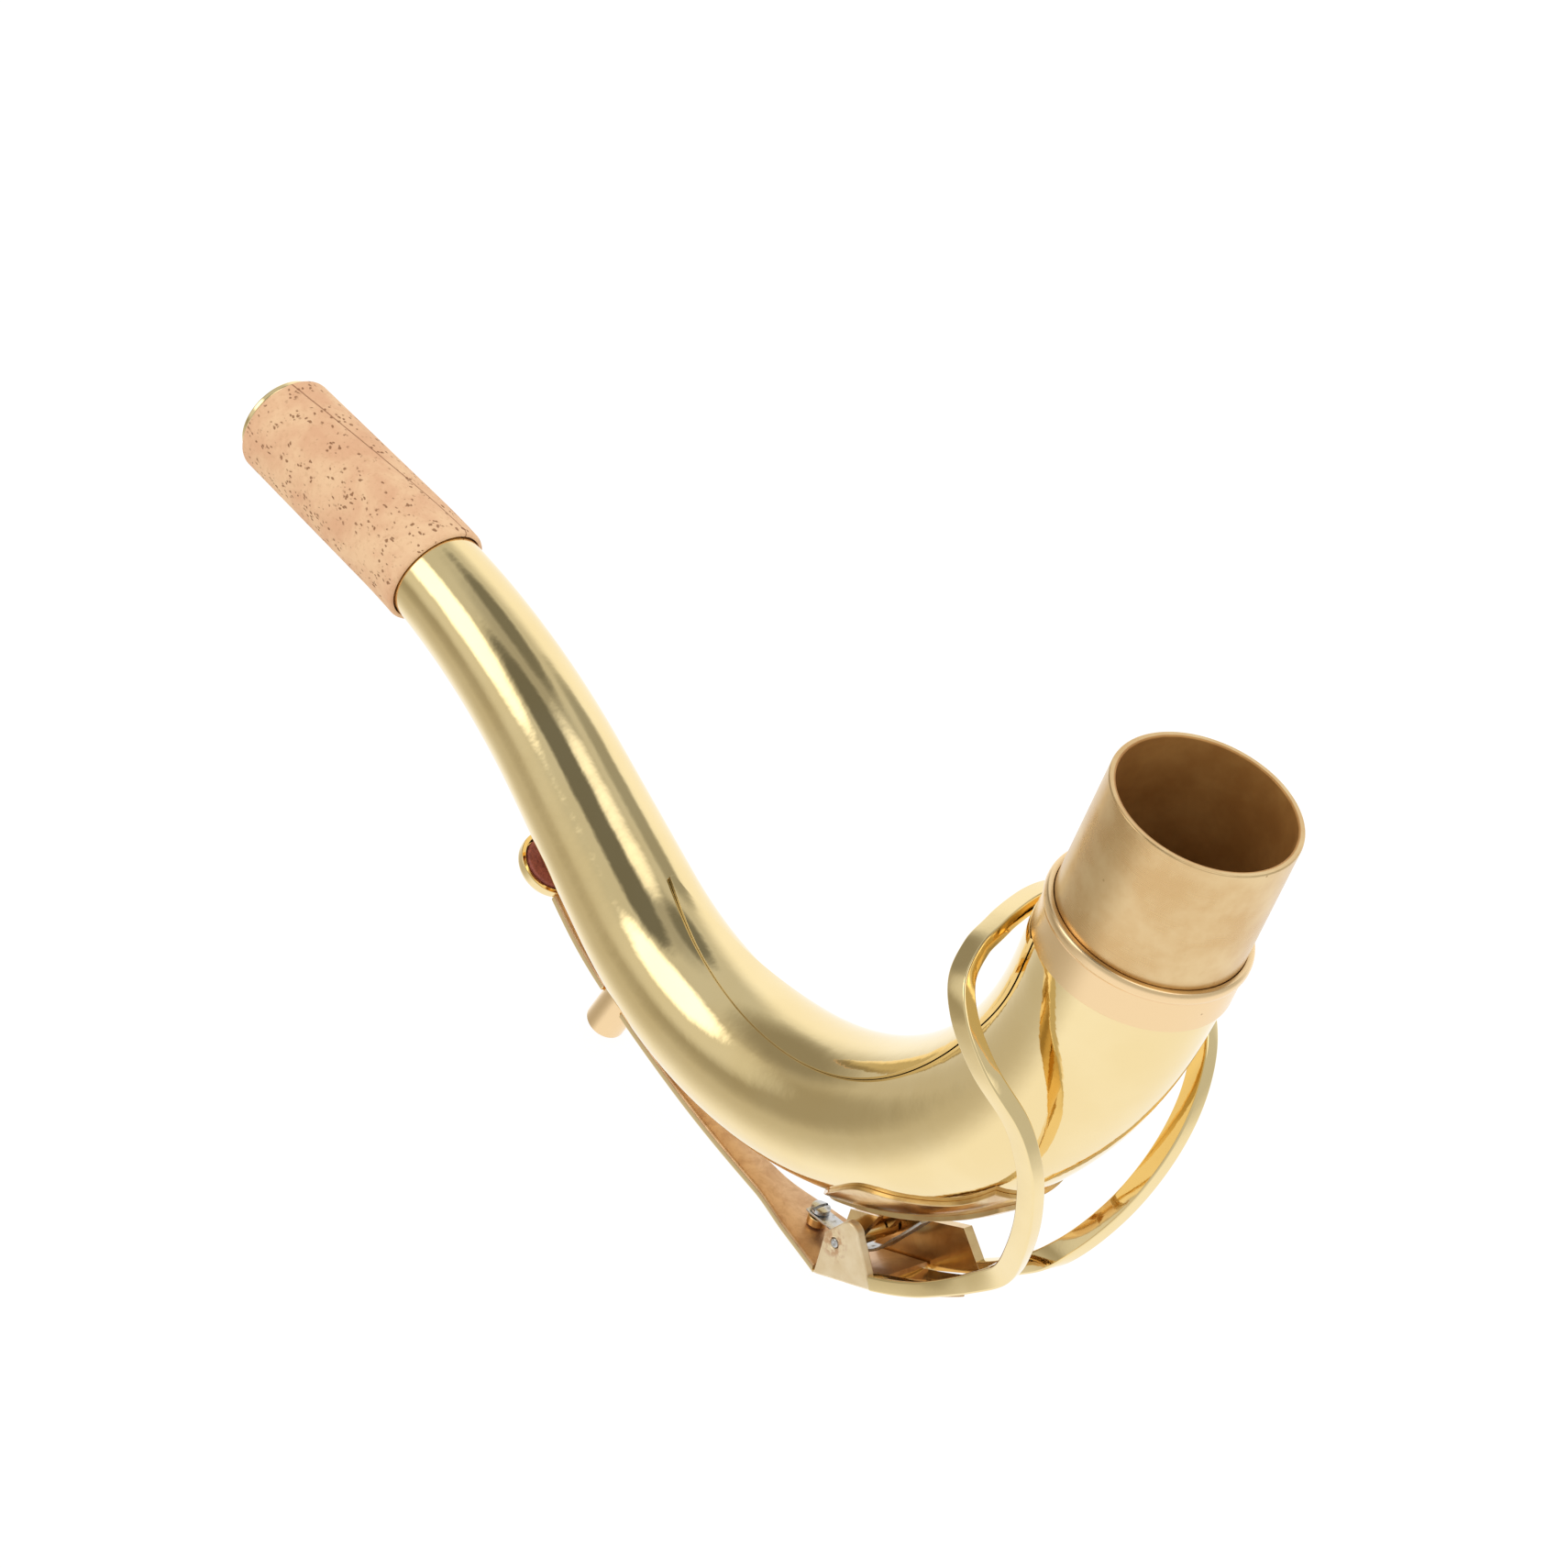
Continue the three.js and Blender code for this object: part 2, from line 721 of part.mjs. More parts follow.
function armHalfWidth(share) {
  const rows = [
    [0, armHingeWidth],
    [armWaistShare / 2, (armHingeWidth + armWaistWidth) / 2],
    [armWaistShare, armWaistWidth],
    [armSocketShare, armWidth],
    [1, armWidth],
  ];
  return smoothTable(rows, share) / 2;
}

function armStrip(fromShare, toShare, steps) {
  const pointAt = (depth) => (along, side) => {
    const share = THREE.MathUtils.lerp(fromShare, toShare, along);
    const place = armPlace(share);
    return place.point.addScaledVector(place.outward, -depth)
      .addScaledVector(across, armHalfWidth(share) * (2 * side - 1));
  };
  return sheet(pointAt(armThickness), pointAt(0), steps, armStepsAcross);
}

function socketSpace() {
  const seat = seatAt(socketStation);
  const radius = socketDiameter / 2 + seatGap;
  return disc(radius, -cutOverrun, socketOuterHeight + cutOverrun, seat.origin, seat.axis, smallSides);
}

function cupSpace() {
  const seat = seatAt(ventStation);
  const radius = cupDiameter / 2 + seatGap;
  return disc(radius, -cutOverrun, cupBackHeight + cutOverrun, seat.origin, seat.axis, turnedSides);
}

// The arm runs on between the ears as the plate under the hinge.
function keyArm() {
  const strip = armStrip(0, armSocketShare, armSteps);
  const outline = [
    [-earBaseTowardTenon, earDrop - armThickness],
    [earBaseTowardTip + armThickness, earDrop - armThickness],
    [earBaseTowardTip + armThickness, earDrop],
    [-earBaseTowardTenon, earDrop],
  ];
  const bridge = sidePlate(outline, -barrelLength / 2, barrelLength / 2);
  return cutAway(joined(strip, bridge), [socketSpace()]);
}

function cupArm() {
  const strip = armStrip(armSocketShare, 1, cupArmSteps);
  return cutAway(strip, [socketSpace(), cupSpace()]);
}

function bumperSocket() {
  const seat = seatAt(socketStation);
  const boreRadius = bumperDiameter / 2 + seatGap;
  const boreEnd = bumperHeight + bumperDepth + seatGap;
  const profile = [
    [0, boreEnd],
    [boreRadius, boreEnd],
    [boreRadius, socketInnerHeight],
    [socketDiameter / 2, socketInnerHeight],
    [socketDiameter / 2, socketOuterHeight],
    [0, socketOuterHeight],
  ];
  return turned(profile, seat.origin, seat.axis, smallSides);
}

function bumperCork() {
  const seat = seatAt(socketStation);
  return disc(bumperDiameter / 2, bumperHeight, bumperHeight + bumperDepth, seat.origin, seat.axis, smallSides);
}

const cupFloor = cupBackHeight - cupWall;
const padRadius = cupDiameter / 2 - cupWall - seatGap;

function padCup() {
  const seat = seatAt(ventStation);
  const outerRadius = cupDiameter / 2;
  const profile = [
    [0, cupFloor],
    [outerRadius - cupWall, cupFloor],
    [outerRadius - cupWall, cupRimHeight],
    [outerRadius, cupRimHeight],
    [outerRadius, cupBackHeight - cupWall],
    [outerRadius - cupWall, cupBackHeight],
    [0, cupBackHeight],
  ];
  return turned(profile, seat.origin, seat.axis, turnedSides);
}

const padCardStart = padFaceHeight + padLeatherThickness + seatGap;

function padBacking() {
  const seat = seatAt(ventStation);
  return disc(padRadius, padCardStart, cupFloor - seatGap, seat.origin, seat.axis, turnedSides);
}

function padLeather() {
  const seat = seatAt(ventStation);
  const end = padFaceHeight + padLeatherThickness;
  return disc(padRadius, padFaceHeight, end, seat.origin, seat.axis, turnedSides);
}

// Station of the point on the centreline that lies nearest to a point.
function stationOf(point) {
  let nearest = 0;
  let least = Infinity;
  walkedPoints.forEach((walked, i) => {
    const distance = Math.hypot(walked.x - point.x, walked.z - point.z);
    if (distance < least) {
      least = distance;
      nearest = i;
    }
  });
  return nearest / bendSteps * neckLength;
}

// Path of the ring as [station, angle, height] from its near end over the crest to its far end.
const plateStart = stationOf(fromPin(-earBaseTowardTenon - seatGap, earDrop, 0));
const ringEndStation = stationOf(fromPin(-earBaseTowardTenon - 2 * seatGap, earDrop, 0));

function ringPath() {
  const reach = ringEndStation - ringCrestStation;
  const nearRows = ringPathShares.map(([along, around, height]) => new THREE.Vector3(
    ringCrestStation + along * reach,
    -Math.PI * around,
    ringBarHeight * height,
  ));
  const mirrored = (row) => new THREE.Vector3(row.x, -2 * Math.PI - row.y, row.z);
  const farRows = nearRows.slice(1, -1).reverse().map(mirrored);
  farRows[farRows.length - 1].x = cheekStation - ringEdgeChamfer;
  return new THREE.CatmullRomCurve3([...nearRows, ...farRows]);
}

const ringRows = ringPath();

function ringPoint(share) {
  const row = ringRows.getPoint(share);
  return aboveTube(row.x, row.y, row.z);
}

// Direction square to the ring's own plane, which holds its crest and its two roots.
function ringFacing() {
  const rise = aboveTube(ringCrestStation, Math.PI, 0).sub(aboveTube(ringRootStation, 0, ringBarHeight));
  return rise.cross(across).normalize();
}

// An oblong section with its corners cut off, square to the ring's path.
function ringSection(share, facing) {
  const middle = ringPoint(share);
  const before = ringPoint(Math.max(share - ringTangentShare, 0));
  const after = ringPoint(Math.min(share + ringTangentShare, 1));
  const forward = after.sub(before).normalize();
  const depthWay = facing.clone().addScaledVector(forward, -facing.dot(forward)).normalize();
  const thickWay = forward.clone().cross(depthWay);
  const station = ringRows.getPoint(share).x;
  const barShare = THREE.MathUtils.smoothstep(station, ringRootStation, cheekStation);
  const depth = THREE.MathUtils.lerp(ringDepth, ringBarDepth, barShare) / 2;
  const thickness = THREE.MathUtils.lerp(ringThickness, ringBarThickness, barShare) / 2;
  const cut = ringEdgeChamfer;
  const corners = [
    [depth, thickness - cut],
    [depth - cut, thickness],
    [cut - depth, thickness],
    [-depth, thickness - cut],
    [-depth, cut - thickness],
    [cut - depth, -thickness],
    [depth - cut, -thickness],
    [depth, cut - thickness],
  ];
  return corners.map(([x, y]) => middle.clone().addScaledVector(depthWay, x).addScaledVector(thickWay, y));
}

function ring() {
  const facing = ringFacing();
  const sections = [];
  for (let i = 0; i <= ringSteps; i += 1) sections.push(ringSection(i / ringSteps, facing));
  return bar(sections);
}

// The plate lies between the ring's two bars and ends in a hollow curve.
function keyPlate() {
  const halfWidth = earOuter - ringBarThickness - 2 * seatGap;
  const outerHeight = ringBarHeight + ringBarDepth / 2;
  const pointAt = (height) => (along, side) => {
    const sideShare = 2 * side - 1;
    const end = plateEndStation + plateEndHollow * (1 - sideShare ** 2);
    const station = THREE.MathUtils.lerp(plateStart, end, along);
    const angle = Math.asin(halfWidth * sideShare / (tubeRadius(station) + height));
    return aboveTube(station, angle, height);
  };
  return sheet(pointAt(outerHeight - plateThickness), pointAt(outerHeight), plateStepsAlong, plateStepsAcross);
}

// Spring seat on the arm's inner face: heights below are measured inward from the arm's outer face.
function armShareAt(station) {
  let best = 0;
  let least = Infinity;
  for (let i = 0; i <= armSearchSteps; i += 1) {
    const away = Math.abs(stationOf(armLine.getPoint(i / armSearchSteps)) - station);
    if (away < least) {
      least = away;
      best = i / armSearchSteps;
    }
  }
  return best;
}

const screwPlace = armPlace(armShareAt(screwStation));
const inward = screwPlace.outward.clone().negate();
const bossStart = armThickness + seatGap;
const springStart = bossStart + bossHeight + seatGap;
const screwStart = springStart + springThickness + seatGap;

function springBoss() {
  return disc(bossDiameter / 2, bossStart, bossStart + bossHeight, screwPlace.point, inward, smallSides);
}

function springScrew() {
  const end = screwStart + screwHeadHeight;
  const head = disc(screwHeadDiameter / 2, screwStart, end, screwPlace.point, inward, smallSides);
  const slot = new THREE.BoxGeometry(screwSlotWidth, 2 * screwSlotDepth, 2 * screwHeadDiameter);
  const turn = new THREE.Matrix4().makeBasis(screwPlace.forward, inward, screwPlace.forward.clone().cross(inward));
  const top = screwPlace.point.clone().addScaledVector(inward, end);
  return cutAway(head, [closedBody(slot.applyMatrix4(turn.setPosition(top)))]);
}

// The spring leaves its screw, passes outside the barrel and bends in to press on the saddle.
function flatSpring() {
  const atScrew = screwPlace.point.clone().addScaledVector(inward, springStart + springThickness / 2);
  const tail = atScrew.clone().addScaledVector(screwPlace.forward, springTail);
  const pastBarrel = barrelDiameter / 2 + seatGap + springThickness;
  const atBarrel = fromPin(-pastBarrel / 2, pastBarrel, 0);
  const tipHeight = doublerOuter + seatGap + springThickness / 2;
  const tip = aboveTube(springTipStation, 0, tipHeight);
  const bow = atBarrel.clone().lerp(tip, 0.5).addScaledVector(hinge.outward, springBow);
  const path = new THREE.CatmullRomCurve3([tail, atScrew, atBarrel, bow, tip]);
  const pointAt = (height) => (along, side) => {
    const forward = path.getTangent(along);
    return path.getPoint(along).addScaledVector(forward.cross(across), height)
      .addScaledVector(across, springWidth * (side - 0.5));
  };
  return sheet(pointAt(-springThickness / 2), pointAt(springThickness / 2), springSteps, 1);
}

add('neck_tube', neckTube(), lacqueredBrass);
add('tenon_sleeve', tenonSleeve(), satinBrass);
add('tenon_collar', tenonCollar(), satinBrass);
add('tip_ring', tipRing(), lacqueredBrass);
add('mouthpiece_cork', mouthpieceCork(), corkMaterial);
add('under_brace', underBrace(), lacqueredBrass);
add('pip_base', pipBase(), lacqueredBrass);
add('octave_pip', octavePip(), lacqueredBrass);
add('saddle_foot', saddleFoot(), lacqueredBrass);
add('saddle_doubler', saddleDoubler(), lacqueredBrass);
add('near_saddle_leg', saddleLeg(-1), lacqueredBrass);
add('far_saddle_leg', saddleLeg(1), lacqueredBrass);
add('hinge_barrel', hingeBarrel(), lacqueredBrass);
add('hinge_pin', hingePin(), steel);
add('near_ear', ear(-1, []), lacqueredBrass);
add('far_ear', ear(1, cheekEnd()), lacqueredBrass);
add('key_arm', keyArm(), lacqueredBrass);
add('cup_arm', cupArm(), lacqueredBrass);
add('bumper_socket', bumperSocket(), satinBrass);
add('bumper_cork', bumperCork(), corkMaterial);
add('pad_cup', padCup(), lacqueredBrass);
add('pad_backing', padBacking(), padCardMaterial);
add('pad_leather', padLeather(), padLeatherMaterial);
add('key_plate', keyPlate(), lacqueredBrass);
add('key_ring', ring(), lacqueredBrass);
add('spring_boss', springBoss(), lacqueredBrass);
add('spring_screw', springScrew(), steel);
add('flat_spring', flatSpring(), steel);

export default group;
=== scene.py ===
"""Looks of a tenor saxophone's neck with its octave key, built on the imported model."""

import math

import bmesh
import bpy
import numpy as np
from mathutils import Matrix, Vector


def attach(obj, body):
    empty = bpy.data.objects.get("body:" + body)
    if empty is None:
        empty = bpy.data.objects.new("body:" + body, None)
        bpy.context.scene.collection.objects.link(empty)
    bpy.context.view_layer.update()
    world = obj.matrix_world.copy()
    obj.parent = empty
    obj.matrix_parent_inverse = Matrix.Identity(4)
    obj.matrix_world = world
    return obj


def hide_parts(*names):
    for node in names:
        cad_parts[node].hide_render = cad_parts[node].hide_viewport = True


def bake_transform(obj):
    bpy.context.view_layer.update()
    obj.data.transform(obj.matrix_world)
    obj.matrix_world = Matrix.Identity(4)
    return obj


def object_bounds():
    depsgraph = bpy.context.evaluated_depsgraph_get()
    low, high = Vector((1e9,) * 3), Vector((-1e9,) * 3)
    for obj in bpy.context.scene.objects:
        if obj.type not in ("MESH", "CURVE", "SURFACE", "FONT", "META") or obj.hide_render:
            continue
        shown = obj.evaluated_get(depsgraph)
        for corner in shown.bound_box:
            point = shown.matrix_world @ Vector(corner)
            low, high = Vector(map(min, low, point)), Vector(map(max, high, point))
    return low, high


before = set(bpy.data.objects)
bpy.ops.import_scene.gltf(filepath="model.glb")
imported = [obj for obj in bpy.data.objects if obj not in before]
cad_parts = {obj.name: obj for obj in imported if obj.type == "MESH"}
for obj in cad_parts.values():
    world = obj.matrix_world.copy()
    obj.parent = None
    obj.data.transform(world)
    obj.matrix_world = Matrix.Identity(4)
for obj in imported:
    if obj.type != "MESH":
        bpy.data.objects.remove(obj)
solid_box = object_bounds()

# The camera looks down on the neck from in front and to the right, with a long lens. Its place is the
# one that puts the tenon, the collar and both outlines of the tube where the photograph has them.
photo_width_px = 1710
focal_length_px = 8108.3
sensor_width = 36
camera_place = Vector((0.41751, -0.65904, 0.58183))
camera_right = Vector((0.5908, 0.74069, 0.31989))
camera_up = Vector((-0.6593, 0.21466, 0.72059))


def add_camera():
    """The photograph's view: the camera's own axes are the columns of its rotation."""
    camera = bpy.data.cameras.new("camera")
    camera.sensor_width = sensor_width
    camera.lens = focal_length_px / photo_width_px * sensor_width
    camera.clip_start = 0.05
    camera.clip_end = 20
    camera_object = bpy.data.objects.new("camera", camera)
    turn = Matrix((camera_right, camera_up, camera_right.cross(camera_up))).transposed()
    camera_object.matrix_world = Matrix.Translation(camera_place) @ turn.to_4x4()
    bpy.context.scene.collection.objects.link(camera_object)
    bpy.context.scene.camera = camera_object


add_camera()


# The surroundings are a white studio: a plain white floor under the neck, one soft light high on the
# left in front, a pale wall behind, and a dim ceiling that the polished tube shows as dark bands.
class Shade:
    """A socket of a node tree. Python's sums on it add Math nodes, and make() adds any other node."""

    def __init__(self, tree, socket=None):
        self.tree = tree
        self.socket = socket

    def make(self, kind, settings=None, sockets=None, output=0):
        """A new node: its settings are set first, then its sockets. Gives a handle on one of its outputs."""
        node = self.tree.nodes.new(kind)
        for name, value in (settings or {}).items():
            setattr(node, name, value)
        for name, value in (sockets or {}).items():
            if isinstance(value, Shade):
                self.tree.links.new(value.socket, node.inputs[name])
            else:
                node.inputs[name].default_value = value
        return Shade(self.tree, node.outputs[output] if node.outputs else None)

    def maths(self, operation, *values):
        """A Math node on numbers."""
        return self.make("ShaderNodeMath", {"operation": operation}, dict(enumerate(values)))

    def vector(self, operation, *others, output=0):
        """A Vector Math node on this vector and the others."""
        values = dict(enumerate((self, *others)))
        return self.make("ShaderNodeVectorMath", {"operation": operation}, values, output)

    def __add__(self, other):
        return self.maths("ADD", self, other)

    def __radd__(self, other):
        return self.maths("ADD", other, self)

    def __sub__(self, other):
        return self.maths("SUBTRACT", self, other)

    def __rsub__(self, other):
        return self.maths("SUBTRACT", other, self)

    def __mul__(self, other):
        return self.maths("MULTIPLY", self, other)

    def __rmul__(self, other):
        return self.maths("MULTIPLY", other, self)

    def __abs__(self):
        return self.maths("ABSOLUTE", self)

    def step(self, low, high):
        """0 below low, 1 above high, and a smooth rise between; high may be below low for a fall."""
        settings = {"interpolation_type": "SMOOTHSTEP"}
        return self.make("ShaderNodeMapRange", settings, {"Value": self, "From Min": low, "From Max": high})

    def blend(self, first, second):
        """The first colour where this value is 0, the second where it is 1."""
        settings = {"data_type": "RGBA"}
        return self.make("ShaderNodeMix", settings, {0: self, 6: first, 7: second}, 2)


def emptied(owner):
    """The first handle on the emptied node tree of a world or a material."""
    owner.use_nodes = True
    owner.node_tree.nodes.clear()
    return Shade(owner.node_tree)


def direction(azimuth, elevation):
    """Unit vector at an azimuth, turned from +Y towards +X, and an elevation, both in degrees."""
    turn, rise = math.radians(azimuth), math.radians(elevation)
    return (math.sin(turn) * math.cos(rise), math.cos(turn) * math.cos(rise), math.sin(rise))


def add_world():
    """White for the camera and an even soft light for matt things. Polished metal sees the round patches.

    Each patch is written as its azimuth, its elevation, the angles from its middle at which it begins and is
    full, all in degrees, and its colour.
    """
    world = bpy.data.worlds.new("studio")
    root = emptied(world)
    towards = root.make("ShaderNodeTexCoord", output="Generated")
    height = root.make("ShaderNodeSeparateXYZ", None, {0: towards}, "Z")
    pale_above = (0.6, 0.6, 0.57, 1)
    white_below = (1.0, 1.0, 0.99, 1)
    studio = height.step(0.0, -0.5).blend(pale_above, white_below)
    wall_behind = (-30, 0, 56, 30, (1.05, 1.05, 1.03, 1))
    front_floor = (-125, -15, 58, 20, (0.56, 0.53, 0.46, 1))
    dim_front = (-132, -12, 27, 10, (0.38, 0.35, 0.28, 1))
    dim_side = (-99, 17, 28, 9, (0.3, 0.28, 0.23, 1))
    dim_ceiling = (-118, 80, 27, 6, (0.4, 0.4, 0.38, 1))
    light_overhead = (95, 70, 27, 14, (1.4, 1.4, 1.38, 1))
    ceiling_gap = (-172, 60, 20, 12, (0.17, 0.17, 0.155, 1))
    second_gap = (-62, 68, 16, 7, (0.2, 0.2, 0.18, 1))
    far_strip = (0, 48, 17, 7, (0.36, 0.36, 0.33, 1))
    front_glow = (-145, 8, 26, 8, (0.72, 0.71, 0.66, 1))
    key_light = (-147, 26, 20, 11, (1.9, 1.9, 1.85, 1))
    for azimuth, elevation, begins, full, patch_colour in (
        wall_behind, front_floor, dim_front, dim_side, dim_ceiling, light_overhead,
        ceiling_gap, second_gap, far_strip, front_glow, key_light,
    ):
        nearness = towards.vector("DOT_PRODUCT", direction(azimuth, elevation), output="Value")
        patch = nearness.step(math.cos(math.radians(begins)), math.cos(math.radians(full)))
        studio = patch.blend(studio, patch_colour)
    camera_ray = root.make("ShaderNodeLightPath", output="Is Camera Ray")
    glossy_ray = root.make("ShaderNodeLightPath", output="Is Glossy Ray")
    soft_light = (1.15, 1.15, 1.15, 1)
    colour = camera_ray.blend(glossy_ray.blend(soft_light, studio), (1, 1, 1, 1))
    background = root.make("ShaderNodeBackground", None, {"Color": colour})
    root.make("ShaderNodeOutputWorld", None, {"Surface": background})
    bpy.context.scene.world = world


def add_floor():
    """A wide white sheet just under the lowest point. It keeps a faint shadow, and metal doesn't see it."""
    floor_drop = 0.0004
    half_width = 1.5
    height = solid_box[0].z - floor_drop
    mesh = bpy.data.meshes.new("floor")
    corners = [(x * half_width, y * half_width, height) for x, y in ((-1, -1), (1, -1), (1, 1), (-1, 1))]
    mesh.from_pydata(corners, [], [(0, 1, 2, 3)])
    floor = bpy.data.objects.new("floor", mesh)
    floor.visible_glossy = False
    bpy.context.scene.collection.objects.link(floor)
    paper = bpy.data.materials.new("floor_paper")
    root = emptied(paper)
    camera_ray = root.make("ShaderNodeLightPath", output="Is Camera Ray")
    shadow_share = 0.14
    open_white = 1.07
    diffuse = root.make("ShaderNodeBsdfDiffuse", None, {"Color": (0.9, 0.9, 0.9, 1)})
    white = root.make("ShaderNodeEmission", None, {"Color": (1, 1, 1, 1), "Strength": open_white})
    mixed = {0: camera_ray * (1 - shadow_share), 1: diffuse, 2: white}
    surface = root.make("ShaderNodeMixShader", None, mixed)
    root.make("ShaderNodeOutputMaterial", None, {"Surface": surface})
    mesh.materials.append(paper)


bpy.context.scene.view_settings.view_transform = "Standard"
add_world()
add_floor()


# The neck tube is one brass tube, drawn to a long taper and bent twice: a tight main bend below the
# tenon and a gentle back bend before the mouthpiece. It is buffed and lacquered.
metres_per_mm = 0.001
entry_straight = 32.4
main_bend = 118.5
main_bend_degrees = 109.4
main_bend_tightening = 0.163
middle_straight = 19.2
back_bend = 48.4
back_bend_degrees = 23.9
mouth_straight = 30
bend_ease = 3
neck_length = entry_straight + main_bend + middle_straight + back_bend + mouth_straight
tenon_length = 20.8
collar_length = 7.2
seam_gap = 0.25
tip_ring_length = 1
tube_start = tenon_length + collar_length + seam_gap
tube_end = neck_length - tip_ring_length - seam_gap
tube_wide_end = 27.9
tube_tip = 12.5
tube_dip = 0.22
tube_wall = 0.8


def centreline():
    """Stations along the tube and, at each, its x, z and turn so far, which is the sum of the curvature."""
    station = np.linspace(0, neck_length, 4001)
    step = station[1]
    middle = station[:-1] + step / 2
    curvature = np.zeros_like(middle)
    for start, length, degrees, tightening in (
        (entry_straight, main_bend, main_bend_degrees, main_bend_tightening),
        (entry_straight + main_bend + middle_straight, back_bend, -back_bend_degrees, 0),
    ):
        into = middle - start
        eased = np.clip(np.minimum(into, length - into) / bend_ease, 0, 1)
        steady = math.radians(degrees) / ((length - bend_ease) * (1 + tightening / 2))
        curvature += steady * eased * (1 + tightening * into / length) * (into > 0) * (into < length)
    turn = np.concatenate([[0], np.cumsum(curvature * step)])
    middle_turn = (turn[1:] + turn[:-1]) / 2
    x = np.concatenate([[0], np.cumsum(-np.sin(middle_turn) * step)])
    z = np.concatenate([[0], np.cumsum(-np.cos(middle_turn) * step)])
    return station, x, z, turn


line_station, line_x, line_z, line_turn = centreline()
sideways = np.array([0.0, 1.0, 0.0])


def frame_at(station):
    """Point, forward and outward directions at each station: the turn swings them about the Y axis."""
    station = np.asarray(station, float)
    x = np.interp(station, line_station, line_x)
    z = np.interp(station, line_station, line_z)
    turn = np.interp(station, line_station, line_turn)
    none = np.zeros_like(x)
    forward = np.stack([-np.sin(turn), none, -np.cos(turn)], -1)
    outward = np.stack([np.cos(turn), none, -np.sin(turn)], -1)
    return np.stack([x, none, z], -1), forward, outward


def tube_radius(station):
    """A straight taper that dips a little at its middle, as a parabola."""
    share = np.clip((np.asarray(station) - tube_start) / (tube_end - tube_start), 0, 1)
    return (tube_wide_end + (tube_tip - tube_wide_end) * share) / 2 - 4 * tube_dip * share * (1 - share)


def around(station, angle, radius):
    """Points at a distance from the centreline: outward by the angle's cosine and sideways by its sine."""
    station, angle, radius = np.broadcast_arrays(station, angle, radius)
    point, _, outward = frame_at(station)
    out, aside = (radius * np.cos(angle))[..., None], (radius * np.sin(angle))[..., None]
    return point + outward * out + sideways * aside


def above_tube(station, angle, height):
    """Points at a height over the tube's outer surface."""
    return around(station, angle, tube_radius(station) + height)


def full_turn(sides):
    """Angles all the way round, without the last one, which would be the first again."""
    return np.linspace(0, 2 * np.pi, sides, endpoint=False)


def piece(name, grid, body, stands_for, material, rounded=0.0, wrap_rows=False):
    """A closed mesh from a grid of points in millimetres: a face from each point to the next row and column.

    The last column joins the first one, and with wrap_rows the last row does too. Pieces ride on their body,
    apart from one that reaches between two bodies and so is given none.
    """
    same_point = 2e-7
    no_length = 1e-7
    sharp_angle = math.radians(40)
    rows, columns = grid.shape[:2]
    row, column = np.meshgrid(np.arange(rows if wrap_rows else rows - 1), np.arange(columns), indexing="ij")
    next_row, next_column = (row + 1) % rows, (column + 1) % columns
    corners = [row * columns + column, row * columns + next_column,
               next_row * columns + next_column, next_row * columns + column]
    faces = np.stack(corners, -1).reshape(-1, 4)
    mesh = bpy.data.meshes.new(name)
    mesh.from_pydata(grid.reshape(-1, 3) * metres_per_mm, [], faces.tolist())
    places = np.stack([np.stack([column, column + 1, column + 1, column], -1) / columns,
                       np.stack([row, row, row + 1, row + 1], -1) / rows], -1)
    mesh.uv_layers.new(name="surface").data.foreach_set("uv", places.reshape(-1).astype(np.float32))
    merged = bmesh.new()
    merged.from_mesh(mesh)
    bmesh.ops.remove_doubles(merged, verts=merged.verts, dist=same_point)
    bmesh.ops.dissolve_degenerate(merged, edges=merged.edges, dist=no_length)
    bmesh.ops.recalc_face_normals(merged, faces=merged.faces)
    merged.to_mesh(mesh)
    merged.free()
    mesh.shade_smooth()
    mesh.set_sharp_from_angle(angle=sharp_angle)
    mesh.materials.append(material)
    made = bpy.data.objects.new(name, mesh)
    bpy.context.scene.collection.objects.link(made)
    if rounded:
        bevel = made.modifiers.new("rounded edges", "BEVEL")
        bevel.width = rounded * metres_per_mm
        bevel.segments = 3
        bevel.limit_method = "ANGLE"
        bevel.angle_limit = sharp_angle
        bevel.harden_normals = True
    if body:
        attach(made, body)
    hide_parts(*stands_for)
    return made


def new_material(name):
    """A material, and each point's place on the object as the first handle of its node tree."""
    material = bpy.data.materials.new(name)
    return material, emptied(material).make("ShaderNodeTexCoord", output="Object")


def finished(material, sockets):
    """The material with a principled shader, its sockets set, on its output."""
    root = Shade(material.node_tree)
    shader = root.make("ShaderNodeBsdfPrincipled", None, sockets)
    root.make("ShaderNodeOutputMaterial", None, {"Surface": shader})
    return material


def noise(place, scale, detail=2.0, roughness=0.5, distortion=0.0, output=0):
    """Soft random values from 0 to 1, with about that many blobs in a metre."""
    sockets = {"Vector": place, "Scale": scale, "Detail": detail, "Roughness": roughness,
               "Distortion": distortion}
    return place.make("ShaderNodeTexNoise", None, sockets, output)


def stretched(place, scale):
    """The place with each axis scaled by itself, which draws a pattern out along the small ones."""
    return place.vector("MULTIPLY", scale)


def bump(height, distance, strength=1.0):
    """Normals of a height field whose full rise is that distance in metres."""
    return height.make("ShaderNodeBump", None, {"Height": height, "Distance": distance, "Strength": strength})


